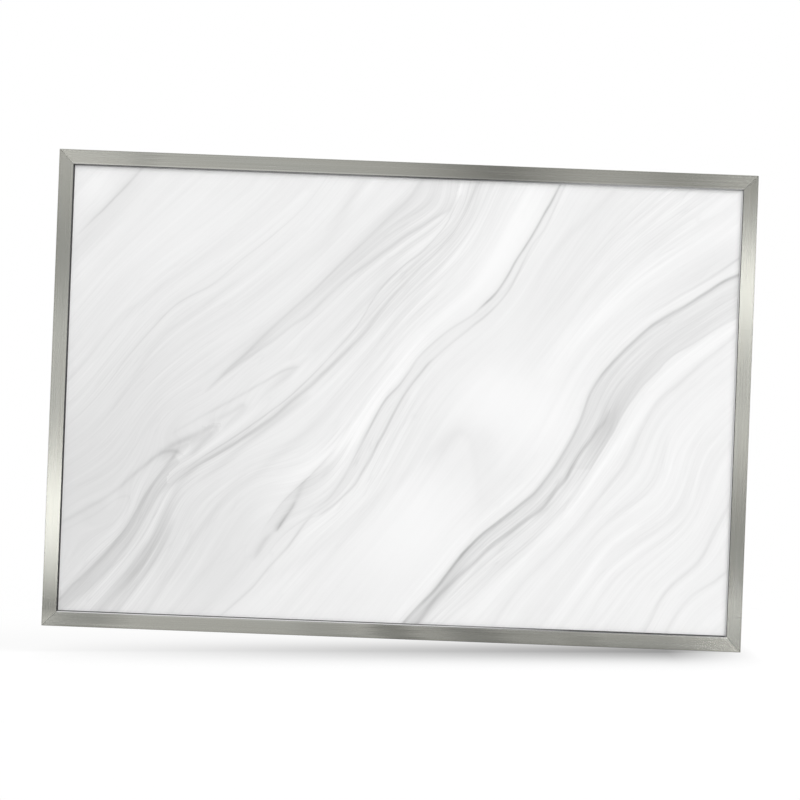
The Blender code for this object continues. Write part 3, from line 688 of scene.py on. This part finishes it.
class Graph:
    """The node graph of a material or the world, built by calls."""

    def __init__(self, owner):
        self.owner = owner
        owner.use_nodes = True
        self.tree = owner.node_tree
        self.tree.nodes.clear()

    def node(self, kind, settings=None, inputs=None, output=0):
        """Any node: its settings go in first, then the values or wires of its sockets."""
        made = self.tree.nodes.new(kind)
        for key, value in (settings or {}).items():
            setattr(made, key, value)
        for key, value in (inputs or {}).items():
            if isinstance(value, Wire):
                self.tree.links.new(value.socket, made.inputs[key])
            else:
                made.inputs[key].default_value = value
        return Wire(self, made.outputs[output]) if made.outputs else None

    def place(self):
        """Object coordinates, in metres."""
        return self.node("ShaderNodeTexCoord", output="Object")

    def parts(self, vector):
        """The three numbers of a vector."""
        made = self.node("ShaderNodeSeparateXYZ", inputs={0: vector}).socket.node
        return tuple(Wire(self, made.outputs[index]) for index in range(3))

    def attribute(self, name):
        """The three numbers of a vector kept on the mesh's points."""
        return self.parts(self.node("ShaderNodeAttribute", {"attribute_name": name}, output="Vector"))

    def vector(self, first, second, third):
        """A vector from three numbers or wires."""
        return self.node("ShaderNodeCombineXYZ", inputs={0: first, 1: second, 2: third})

    def noise(self, vector, scale=1.0, detail=2.0, roughness=0.5):
        """Soft noise from 0 to 1, with its middle at a half."""
        inputs = {"Vector": vector, "Scale": scale, "Detail": detail, "Roughness": roughness}
        return self.node("ShaderNodeTexNoise", {"noise_dimensions": "3D"}, inputs)

    def cells(self, parts, cell, **settings):
        """Noise over three numbers, with cells of one size or of three."""
        sizes = cell if isinstance(cell, tuple) else (cell,) * 3
        return self.noise(self.vector(*(part / size for part, size in zip(parts, sizes))), **settings)

    def blend(self, share, first, second):
        """One colour passing into another, by the Mix node's sockets 6 and 7."""
        inputs = {0: share, 6: self.colour(first), 7: self.colour(second)}
        return self.node("ShaderNodeMix", {"data_type": "RGBA"}, inputs, output=2)

    def colour(self, value):
        """A wire as it is, or three numbers with a full alpha."""
        return value if isinstance(value, Wire) else (*value, 1.0)

    def bump(self, height, strength, depth):
        """A normal tilted by a height that spans the depth in metres."""
        inputs = {"Strength": strength, "Distance": depth, "Height": height}
        return self.node("ShaderNodeBump", inputs=inputs)

    def seen(self):
        """1 where the camera, a reflection or glass looks, and 0 for light on matt surfaces."""
        camera, glossy, through = (self.node("ShaderNodeLightPath", output=name) for name in SEEN_RAYS)
        return camera.math("MAXIMUM", glossy).math("MAXIMUM", through)

    def surface(self, shader, kind="ShaderNodeOutputMaterial"):
        """Joins the shader to the output, and returns what the graph belongs to."""
        self.node(kind, inputs={"Surface": shader})
        return self.owner

    def finish(self, **sockets):
        """The surface shader. A socket's name is written with underscores for its spaces."""
        inputs = {key.replace("_", " "): value for key, value in sockets.items()}
        return self.surface(self.node("ShaderNodeBsdfPrincipled", inputs=inputs))


def new_finish(name):
    """The empty graph of a new material."""
    return Graph(bpy.data.materials.new(name))


def new_object(name, data):
    """An object linked to the scene."""
    made = bpy.data.objects.new(name, data)
    bpy.context.scene.collection.objects.link(made)
    return made


# The stone pattern, worked out on the sheet's grid
def curve_through(points):
    """A smooth line through the points. Each number follows a cubic blend of four neighbouring points."""
    rows = np.array([(*point, 1)[:3] for point in points], float)
    padded = np.vstack((2 * rows[0] - rows[1], rows, 2 * rows[-1] - rows[-2]))
    share = (np.arange(CURVE_STEPS) / CURVE_STEPS)[:, None, None]
    before, start, end, after = padded[:-3], padded[1:-2], padded[2:-1], padded[3:]
    slope = (end - before) * share
    bend = (2 * before - 5 * start + 4 * end - after) * share**2
    twist = (3 * start - 3 * end + after - before) * share**3
    smooth = start + (slope + bend + twist) / 2
    return np.vstack((smooth.transpose(1, 0, 2).reshape(-1, rows.shape[1]), rows[-1]))


def measure(points, places):
    """For every place, its distance to a line and the line's strength there. The place is dropped onto each
    short piece of the line, and the nearest drop wins. Distances are positive below and right of it."""
    line = curve_through(points)
    start = line[:-1]
    step = np.diff(line, axis=0)
    length = (step[:, :2] ** 2).sum(1)
    distance = np.full(len(places), FAR)
    strength = np.zeros(len(places))
    low = line[:, :2].min(0) - VEIN_REACH
    high = line[:, :2].max(0) + VEIN_REACH
    near = np.flatnonzero(((places > low) & (places < high)).all(1))
    for part in np.array_split(near, len(near) // PLACES_AT_ONCE + 1):
        offset = places[part, None, :] - start[None, :, :2]
        share = np.clip((offset * step[None, :, :2]).sum(2) / length, 0, 1)
        miss = offset - share[..., None] * step[None, :, :2]
        gap = np.hypot(miss[..., 0], miss[..., 1])
        best = gap.argmin(1)
        row = np.arange(len(part))
        turn = step[best, 0] * offset[row, best, 1] - step[best, 1] * offset[row, best, 0]
        distance[part] = np.where(turn > 0, 1, -1) * gap[row, best]
        strength[part] = start[best, 2] + share[row, best] * step[best, 2]
    return distance, strength


def vein_layer(veins, places, ground):
    """One layer's three numbers at each place: the distance to the nearest vein in its half widths, its
    darkness and the shade beside it. The veins' soft skirts are taken off the ground."""
    nearest = np.full(len(places), FAR)
    layer = np.zeros((len(places), 3))
    layer[:, 0] = FAR
    for half_width, darkness, shade, reach, points in veins:
        distance, strength = measure(points, places)
        widths = np.abs(distance) / half_width
        ground -= SKIRT_SHARE * darkness * strength * np.exp(-((widths / SKIRT_WIDTH) ** 2))
        window = 1 - ease(widths, *FADE)
        closer = np.abs(distance) < np.abs(nearest)
        nearest[closer] = distance[closer]
        layer[closer, 0] = (distance / half_width)[closer]
        layer[closer, 1] = (darkness * strength * window)[closer]
        layer[closer, 2] = (shade * strength * np.exp(-np.abs(distance) / reach))[closer]
    return layer


def streak(row, places):
    """A soft streak: its darkness falls off across it as a bell curve."""
    half_width, darkness, points = row
    distance, strength = measure(points, places)
    return darkness * strength * np.exp(-((distance / half_width) ** 2))


def bent_plate(gap):
    """The height of a thin plate that is pushed up at one point, at a distance from it."""
    return gap**2 * np.log(np.maximum(gap, LEAST_GAP))


def grain_level(places):
    """How far a place lies across the stone's grain, in millimetres. Along each guiding vein it keeps one
    value. Between them it passes from one to the next like a thin plate bent over all of their points."""
    guides = [([point[:2] for point in points], level) for points, level in GRAIN_LINES]
    knots = np.vstack([line for line, level in guides])
    levels = np.concatenate([np.full(len(line), level) for line, level in guides])
    count = len(knots)
    plane = np.column_stack((np.ones(count), knots))
    gaps = np.hypot(*(knots[:, None] - knots[None]).transpose(2, 0, 1))
    system = np.zeros((count + 3, count + 3))
    system[:count, :count] = bent_plate(gaps) + PLATE_SOFTNESS * np.eye(count)
    system[:count, count:] = plane
    system[count:, :count] = plane.T
    weights = np.linalg.solve(system, np.concatenate((levels, np.zeros(3))))
    level = weights[count] + places @ weights[count + 1:]
    for knot, weight in zip(knots, weights):
        level += weight * bent_plate(np.hypot(places[:, 0] - knot[0], places[:, 1] - knot[1]))
    return level


def fill(upper, lower, amount, places):
    """A fill between an upper and a lower vein. It runs a little past both, for the shader to cut, and fades
    out where either vein ends."""
    above, first_strength = measure(upper, places)
    below, second_strength = measure(lower, places)
    share = np.clip(np.minimum(first_strength, second_strength) / FILL_FADE, 0, 1)
    inside = ease(above, -FILL_OVERRUN, -FILL_OVERRUN / 2) * ease(-below, -FILL_OVERRUN, -FILL_OVERRUN / 2)
    return amount * share * inside * (below > -VEIN_REACH)


def patches(rows, places):
    """Soft oval patches added together. Each one falls off as a bell curve along its two axes."""
    total = np.zeros(len(places))
    for right, up, long_half, short_half, lean, amount in rows:
        turn = math.radians(lean)
        along = (places[:, 0] - right) * math.cos(turn) + (places[:, 1] - up) * math.sin(turn)
        across = (places[:, 1] - up) * math.cos(turn) - (places[:, 0] - right) * math.sin(turn)
        total += amount * np.exp(-((along / long_half) ** 2) - (across / short_half) ** 2)
    return total


def stone_values(places):
    """Every vector that the stone's shader reads, at each place in millimetres."""
    ground = GROUND_LIGHT - patches(GROUND_PATCHES, places)
    for row in SOFT_STREAKS:
        ground -= streak(row, places)
    values = {}
    for name, veins in zip(LAYER_NAMES, VEIN_LAYERS):
        values[name] = vein_layer(veins, places, ground)
    low = ease(-places[:, 1], *NARROWS)
    wedge_and_pair = fill(WEDGE_TOP, WEDGE_FOOT, WEDGE_FILL, places)
    wedge_and_pair += fill(PAIR_LEFT, PAIR_RIGHT, PAIR_FILL, places)
    wedge_and_pair += fill(GREAT_TOP, GREAT_INNER, GREAT_VEIN_FILL, places) * low
    great = fill(GREAT_TOP, GREAT_FOOT, GREAT_VEIN_FILL, places) * (1 - low)
    great += streak(GREAT_VEIN_CORE, places) * (great > 0)
    limb = fill(LIMB_LEFT, LIMB_RIGHT, LIMB_FILL, places)
    values["fills"] = np.column_stack((wedge_and_pair, great, limb))
    along = (places[:, 0] + places[:, 1]) / math.sqrt(2)
    values["grain"] = np.column_stack((grain_level(places), along, ground))
    streaky = np.maximum(patches(STREAK_PATCHES, places) + STREAKS_EVERYWHERE, STREAKS_LEAST)
    wavering = np.maximum(1 - patches(CALM_PATCHES, places), 0)
    values["weave"] = np.column_stack((streaky, wavering, wavering))
    return values


# Pieces
def new_piece(name, mesh, material, body, node):
    """A piece of this file's own, in the place of one CAD node."""
    mesh.update()
    mesh.materials.append(material)
    piece = new_object(name, mesh)
    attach(piece, body)
    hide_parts(node)
    return piece


def printed_sheet():
    """The sheet: its front is a flat grid from edge to edge, closed by four narrow sides and a flat back."""
    low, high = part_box("printed_sheet")
    across = np.linspace(low.x, high.x, SHEET_COLUMNS + 1)
    upward = np.linspace(low.z, high.z, SHEET_ROWS + 1)
    right, up = np.meshgrid(across, upward)
    count = right.size
    front = np.column_stack((right.ravel(), np.full(count, low.y), up.ravel()))
    around = ((low.x, low.z), (high.x, low.z), (high.x, high.z), (low.x, high.z))
    back = np.array([(x, high.y, z) for x, z in around])
    index = np.arange(count).reshape(SHEET_ROWS + 1, SHEET_COLUMNS + 1)
    quads = np.stack((index[:-1, :-1], index[:-1, 1:], index[1:, 1:], index[1:, :-1]), axis=-1)
    corners = list(range(count, count + 4))
    edges = (index[0, ::-1], index[::-1, -1], index[-1, :], index[:, 0])
    faces = quads.reshape(-1, 4).tolist() + [corners[::-1]]
    for start, end, edge in zip(corners, corners[1:] + corners[:1], edges):
        faces.append([start, end, *edge.tolist()])
    points = np.vstack((front, back))
    mesh = bpy.data.meshes.new("marble_print")
    mesh.from_pydata(points.tolist(), [], faces)
    for name, value in stone_values(points[:, [0, 2]] / MM).items():
        attribute = mesh.attributes.new(name, "FLOAT_VECTOR", "POINT")
        attribute.data.foreach_set("vector", value.astype(np.float32).ravel())
    return new_piece("marble_print", mesh, marble(), "board", "printed_sheet")


def ring_line():
    """The ring's centre line from the hinge, right and up, with its outward directions: a quarter bend at
    the right of the bar, the round bow, and the left bend. Straight lines join them and close the ring."""
    bend = np.linspace(math.pi / 2, 0, RING_BEND_STEPS + 1)
    bow = np.linspace(0, -math.pi, RING_BOW_STEPS + 1)
    right_way = np.column_stack((np.cos(bend), np.sin(bend)))
    bow_way = np.column_stack((np.cos(bow), np.sin(bow)))
    right = right_way * RING_BEND_RADIUS + (RING_BAR_HALF, -RING_BEND_RADIUS)
    round_bow = bow_way * (RING_BAR_HALF + RING_BEND_RADIUS) - (0, RING_BOW_BELOW)
    mirror = np.array((-1, 1))
    points = np.vstack((right, round_bow, right[::-1] * mirror))
    outward = np.vstack((right_way, bow_way, right_way[::-1] * mirror))
    return points, outward


def ring_wire(side, material):
    """A hanger's ring: a round wire carried along its centre line. A point lies one wire radius from the
    line, turned from the line's outward direction towards the back."""
    node = "d_ring_" + side
    low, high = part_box(node)
    hinge = Vector(((low.x + high.x) / 2, (low.y + high.y) / 2, high.z - RING_WIRE_RADIUS))
    points, outward = ring_line()
    turn = np.linspace(0, 2 * math.pi, RING_WIRE_STEPS, endpoint=False)
    flat = points[:, None] + RING_WIRE_RADIUS * np.cos(turn)[None, :, None] * outward[:, None]
    deep = np.broadcast_to(RING_WIRE_RADIUS * np.sin(turn), flat.shape[:2])
    places = np.stack((flat[..., 0] + hinge.x, deep + hinge.y, flat[..., 1] + hinge.z), axis=-1)
    index = np.arange(deep.size).reshape(deep.shape)
    onward = np.roll(index, -1, axis=0)
    quads = np.stack((index, onward, np.roll(onward, -1, axis=1), np.roll(index, -1, axis=1)), axis=-1)
    mesh = bpy.data.meshes.new("ring_wire_" + side)
    mesh.from_pydata(places.reshape(-1, 3).tolist(), [], quads.reshape(-1, 4).tolist())
    mesh.shade_smooth()
    return new_piece("ring_wire_" + side, mesh, material, side + "_ring", node)


# Finishes
def stone_noise(graph, level, along, noise, **settings):
    """Noise that follows the stone's grain, by one of the rows of cells above."""
    across_cell, along_cell, read_at = noise
    return graph.noise(graph.vector(level / across_cell, along / along_cell, read_at), **settings)


def marble():
    """The printed stone. A layer's vein is a bell curve of the distance across it, with a wavering edge.
    Lightness is worked out as the eye sees it and turned into reflected light at the end."""
    graph = new_finish("marble_print")
    level, along, ground = graph.attribute("grain")
    weave, wavering = graph.attribute("weave")[:2]
    grain = (graph, level, along)
    streaks = stone_noise(*grain, STREAKS, detail=3, roughness=0.65) - 0.5
    fine = stone_noise(*grain, FINE_STREAKS, detail=2, roughness=0.6) - 0.5
    broad = stone_noise(*grain, BROAD_BANDS, detail=2) - 0.5
    threads = (stone_noise(*grain, THREADS, detail=1) - 0.5).size().over(THREAD_WIDTH, 0)
    waver = stone_noise(*grain, WAVER, detail=3) - 0.5
    unbroken = stone_noise(*grain, PALE_PLACES, detail=3).over(*PALE_SPREAD)
    sides = []
    veins = 0
    for name in LAYER_NAMES:
        across, darkness, shade = graph.attribute(name)
        shifted = across + waver * wavering * WAVER_SHARE
        side = (shifted * SIDE_STEEPNESS).math("ADD", 0.5, clamp=True)
        veins = shifted.bell() * darkness + shade * side + veins
        sides.append(side)
    wedge, great, limb = graph.attribute("fills")
    first, second, third, fourth, fifth = sides
    fills = wedge * first * (1 - second) + great * first * (1 - third) + limb * fourth * (1 - fifth)
    texture = streaks * STREAKS_SHARE + fine * FINE_STREAKS_SHARE + broad * BROAD_BANDS_SHARE
    texture = texture - threads * THREADS_SHARE
    light = ground + weave * texture - veins * (unbroken * PALE_SHARE + LEAST_VEIN_SHARE) - fills
    reflected = light.math("MINIMUM", STONE_WHITEST) ** EYE_POWER
    return graph.finish(Base_Color=reflected, Roughness=fine.between(*STONE_ROUGHNESS))


def brushed_nickel(name, brushed_along, greys, end_greys, highlight_share, dark_reflections=()):
    """Satin nickel with fine scratches that run along the piece, painted shade in a darker outer line, a
    painted highlight line by the sight edge, painted light and shade on the unbrushed bevel and return in
    greys of their own on either side of the middle, and painted dark reflections where they are given."""
    graph = new_finish(name)
    place = graph.parts(graph.place())
    edge_axis = 2 - brushed_along
    long_way, deep, short_way = place[brushed_along], place[1], place[edge_axis]
    parts = (long_way, short_way, deep)
    broad = graph.cells(parts, BROAD_SCRATCHES, detail=3)
    scratches = (graph.cells(parts, FINE_SCRATCHES, detail=2) + broad) / 2
    shade = graph.cells(parts, SLOW_SHADE, detail=1).over(*NARROW_SPREAD) * SLOW_SHADE_SHARE
    colour = graph.blend(scratches.over(*WIDE_SPREAD), *NICKEL_COLOURS)
    colour = graph.blend(shade, colour, NICKEL_WARM)
    inward = CAD_BOX[1][edge_axis] - short_way.size()
    front = deep.over(*FRONT_STARTS)
    # Painted shade: a darker line along the outer edge
    outer_shade = inward.over(*OUTER_SHADE_ENDS) * front
    # Painted highlight: a lighter line by the sight edge
    painted_highlight = inward.over(*PAINTED_HIGHLIGHT_STARTS) * front
    colour = graph.blend(outer_shade * OUTER_SHADE_SHARE, colour, OUTER_SHADE_GREY)
    colour = graph.blend(painted_highlight * highlight_share, colour, PAINTED_HIGHLIGHT_GREY)
    high_side = short_way.over(*BOARD_MIDDLE)
    # Painted dark reflections: darker patches along the rails with streaky ends, each as dark as given for
    # the bottom and the top rail
    feathered = long_way + (broad - 0.5) * DARK_REFLECTION_STREAKS
    for middle, reach, low_dark, high_dark in dark_reflections:
        patch = (feathered - middle).size().over(reach, reach * DARK_REFLECTION_FULL_SHARE)
        colour = graph.blend(patch * high_side.between(low_dark, high_dark), colour, BLACK)
    # Painted light and shade on the bevel and the return: a grey for each side, changing along the rails
    end = long_way.over(*EDGE_SHADING_CHANGE)
    for starts, near, far in zip((BEVEL_STARTS, RETURN_STARTS), greys, end_greys):
        low_grey, high_grey = (graph.blend(end, (a,) * 3, (b,) * 3) for a, b in zip(near, far))
        grey = graph.blend(high_side, low_grey, high_grey)
        colour = graph.blend(inward.over(*starts) * front, colour, grey)
    unbrushed = inward.over(*RETURN_STARTS) * front
    rough = scratches.between(*NICKEL_ROUGHNESS) + unbrushed * RETURN_ROUGHNESS
    turn = QUARTER_TURN if brushed_along == 0 else 0.0
    return graph.finish(Base_Color=colour, Metallic=1.0, Roughness=rough,
                        Normal=graph.bump(scratches, *NICKEL_BUMP),
                        Anisotropic=NICKEL_STRETCH, Anisotropic_Rotation=turn)


def hardboard():
    """Brown pressed fibre: short fibres, darker flecks and the mesh print of its rough side."""
    graph = new_finish("hardboard")
    parts = graph.parts(graph.place())
    fibres = graph.cells(parts, FIBRE_CELL, detail=5, roughness=0.65)
    clouds = graph.cells(parts, HARDBOARD_CLOUD_CELL, detail=3)
    flecks = graph.cells(parts, FLECK_CELL, detail=2).over(*FLECK_SPREAD)
    print_across, print_up = ((parts[axis] * MESH_PRINT_WAVE).math("SINE") for axis in (0, 2))
    mesh_print = print_across * print_up * 0.5 + 0.5
    brown = graph.blend(clouds.over(*WIDE_SPREAD), *HARDBOARD_COLOURS)
    speckled = graph.blend(fibres.over(*WIDE_SPREAD), brown, FIBRE_BROWN)
    colour = graph.blend(flecks * FLECK_SHARE, speckled, FLECK_BROWN)
    normal = graph.bump((fibres + mesh_print) * HARDBOARD_HEIGHT_SHARE, *HARDBOARD_BUMP)
    return graph.finish(Base_Color=colour, Roughness=fibres.between(*HARDBOARD_ROUGHNESS), Normal=normal)


def zinc_steel():
    """Bright zinc plate on pressed steel, with a faint yellow and blue cast and small crystals."""
    graph = new_finish("zinc_steel")
    parts = graph.parts(graph.place())
    cast = graph.cells(parts, ZINC_CAST_CELL, detail=3)
    crystals = graph.cells(parts, ZINC_CRYSTAL_CELL, detail=2)
    colour = graph.blend(cast.over(*NARROW_SPREAD), *ZINC_COLOURS)
    rough = crystals.between(*ZINC_ROUGHNESS)
    normal = graph.bump(crystals, *ZINC_BUMP)
    return graph.finish(Base_Color=colour, Metallic=1.0, Roughness=rough, Normal=normal)


def spring_steel():
    """Blued spring steel with a straw cast and a fine grain."""
    graph = new_finish("spring_steel")
    parts = graph.parts(graph.place())
    cast = graph.cells(parts, STEEL_CAST_CELL, detail=2)
    grain = graph.cells(parts, STEEL_GRAIN_CELL, detail=2)
    colour = graph.blend(cast.over(*WIDE_SPREAD), *STEEL_COLOURS)
    return graph.finish(Base_Color=colour, Metallic=1.0, Roughness=grain.between(*STEEL_ROUGHNESS))


def nickel_wire():
    """Bright nickel wire with dulled patches."""
    graph = new_finish("nickel_wire")
    dulled = graph.cells(graph.parts(graph.place()), WIRE_PATCH_CELL, detail=3)
    colour = graph.blend(dulled.over(*WIDE_SPREAD), *WIRE_COLOURS)
    return graph.finish(Base_Color=colour, Metallic=1.0, Roughness=dulled.between(*WIRE_ROUGHNESS))


def pad_rubber():
    """Matt dark rubber with a fine moulded grain and dusty high spots."""
    graph = new_finish("pad_rubber")
    parts = graph.parts(graph.place())
    grain = graph.cells(parts, RUBBER_GRAIN_CELL, detail=3)
    dust = graph.cells(parts, RUBBER_DUST_CELL, detail=2).over(*RUBBER_DUST_SPREAD)
    colour = graph.blend(dust * RUBBER_DUST_SHARE, *RUBBER_COLOURS)
    rough = grain.between(*RUBBER_ROUGHNESS)
    return graph.finish(Base_Color=colour, Roughness=rough, Normal=graph.bump(grain, *RUBBER_BUMP))


def node_finishes():
    """The CAD nodes' finishes, each by the start of a node's name. The last one is for all the others."""
    rails = brushed_nickel("nickel_rails", 0, RAIL_EDGE_SHADING, RAIL_RIGHT_EDGE_SHADING, RAIL_HIGHLIGHT_SHARE, RAIL_DARK_REFLECTIONS)
    stiles = brushed_nickel("nickel_stiles", 2, STILE_EDGE_SHADING, STILE_EDGE_SHADING, STILE_HIGHLIGHT_SHARE)
    return {
        "top_rail": rails,
        "bottom_rail": rails,
        "left_stile": stiles,
        "right_stile": stiles,
        "backing_board": hardboard(),
        "spring_clip": spring_steel(),
        "d_ring": nickel_wire(),
        "wall_pad": pad_rubber(),
        "": zinc_steel(),
    }


def paint_nodes(finishes):
    """Gives every CAD node its finish."""
    for name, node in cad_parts.items():
        finish = next(finish for start, finish in finishes.items() if name.startswith(start))
        for index in range(len(node.data.materials)):
            node.data.materials[index] = finish


# Stage
def photo_axes():
    """The photograph's right and up, as directions at the board: the board leans clockwise in it."""
    lean = BOARD_LEAN
    return Vector((math.cos(lean), 0, math.sin(lean))), Vector((-math.sin(lean), 0, math.cos(lean)))


def add_camera():
    """A level camera straight in front, turned so that the board leans as in the photograph."""
    right, up = photo_axes()
    middle = PHOTO_PIXELS / 2
    shift = right * (middle - MIDDLE_SHOWS_AT[0]) - up * (middle - MIDDLE_SHOWS_AT[1])
    place = shift / PIXELS_PER_METRE + Vector((0, CAD_BOX[0].y - CAMERA_DISTANCE, 0))
    data = bpy.data.cameras.new("photo_camera")
    data.sensor_width = SENSOR_WIDTH / MM
    data.lens = SENSOR_WIDTH / MM * CAMERA_DISTANCE * PIXELS_PER_METRE / PHOTO_PIXELS
    data.clip_end = FLOOR_REACH * 2
    camera = new_object("photo_camera", data)
    camera.matrix_world = Matrix.Translation(place) @ Matrix((right, up, (0, -1, 0))).transposed().to_4x4()
    bpy.context.scene.camera = camera


def stage_card(name, corners, material):
    """A flat card of the stage, by its four corners."""
    mesh = bpy.data.meshes.new(name)
    mesh.from_pydata(corners, [], [(0, 1, 2, 3)])
    mesh.materials.append(material)
    card = new_object(name, mesh)
    return card


def floor_finish():
    """Matt white for light. The camera and reflections see mostly a white glow with the soft shadow in it,
    which fades out far away."""
    graph = new_finish("floor")
    place = graph.place()
    across, deep = graph.parts(place)[:2]
    distance = graph.node("ShaderNodeVectorMath", {"operation": "LENGTH"}, {0: place}, output="Value")
    seen = graph.seen()
    tint = graph.noise(place, FLOOR_CLOUDS_SCALE) * FLOOR_CLOUDS_SHARE + FLOOR_WHITE
    matt = graph.node("ShaderNodeBsdfDiffuse", inputs={"Color": tint})
    shadow = across.over(*SHADOW_GROWS) * across.over(*SHADOW_ENDS) * (deep / SHADOW_REACH).bell()
    strength = (1 - shadow * SHADOW_DARKNESS) * FLOOR_GLOW
    glow = graph.node("ShaderNodeEmission", inputs={"Strength": strength})
    near = graph.node("ShaderNodeMixShader", inputs={0: seen * FLOOR_GLOW_SHARE, 1: matt, 2: glow})
    clear = graph.node("ShaderNodeBsdfTransparent")
    gone = distance.over(*FLOOR_FADE) * seen
    return graph.surface(graph.node("ShaderNodeMixShader", inputs={0: gone, 1: near, 2: clear}))


def add_floor():
    """A white floor that touches the board's lower right corner."""
    right, up = photo_axes()
    low, high = CAD_BOX
    corner = Vector((high.x, 0, low.z))
    foot = up * (corner.dot(up) - FLOOR_GAP)
    reach = FLOOR_REACH
    ends = ((-reach, -reach), (reach, -reach), (reach, reach), (-reach, reach))
    stage_card("floor", [foot + right * x + Vector((0, y, 0)) for x, y in ends], floor_finish())


def add_air():
    """Even light from all around, white where the camera, a reflection or glass looks at it."""
    graph = Graph(bpy.data.worlds.new("studio"))
    strength = graph.seen().between(AIR_LIGHT, 1.0)
    background = graph.node("ShaderNodeBackground", inputs={"Color": (1, 1, 1, 1), "Strength": strength})
    bpy.context.scene.world = graph.surface(background, "ShaderNodeOutputWorld")


def add_lamp(name, place, size, watts, on_matt=True):
    """A soft lamp aimed at the board. One that isn't on matt surfaces only shows as a glint in metal."""
    data = bpy.data.lights.new(name, "AREA")
    data.shape = "RECTANGLE"
    data.size, data.size_y = size
    data.energy = watts
    lamp = new_object(name, data)
    lamp.location = place
    lamp.rotation_euler = (-Vector(place)).to_track_quat("-Z", "Y").to_euler()
    lamp.visible_camera = False
    lamp.visible_diffuse = on_matt


def add_lamps():
    """A large key lamp high on the right, and narrow lamps beside the camera that the metal picks up."""
    add_lamp("key", KEY_PLACE, KEY_SIZE, KEY_WATTS)
    for name, place, size, watts in GLINT_LAMPS:
        add_lamp(name, place, size, watts, on_matt=False)


def add_flags():
    """Dark cards in front of the board that only reflections see."""
    graph = new_finish("flag")
    tint = graph.noise(graph.place(), FLAG_CLOUDS_SCALE) * FLAG_CLOUDS_SHARE + FLAG_BLACK
    black = graph.surface(graph.node("ShaderNodeBsdfDiffuse", inputs={"Color": tint}))
    upright = [(name, (left, FLAG_DEPTH, low), (right, FLAG_DEPTH, low), (right, FLAG_DEPTH, high),
                (left, FLAG_DEPTH, high)) for name, (left, right), (low, high) in FLAGS]
    height = LOW_FLAG_HEIGHT
    lying = [(name, (left, near, height), (right, near, height), (right, far, height), (left, far, height))
             for name, (left, right), (near, far) in LOW_FLAGS]
    for name, *corners in upright + lying:
        flag = stage_card(name, corners, black)
        flag.visible_camera = False
        flag.visible_diffuse = False
        flag.visible_shadow = False


add_camera()
add_air()
add_lamps()
add_flags()
add_floor()
finishes = node_finishes()
paint_nodes(finishes)
printed_sheet()
for side in ("left", "right"):
    ring_wire(side, finishes["d_ring"])
bpy.context.scene.view_settings.view_transform = "Standard"
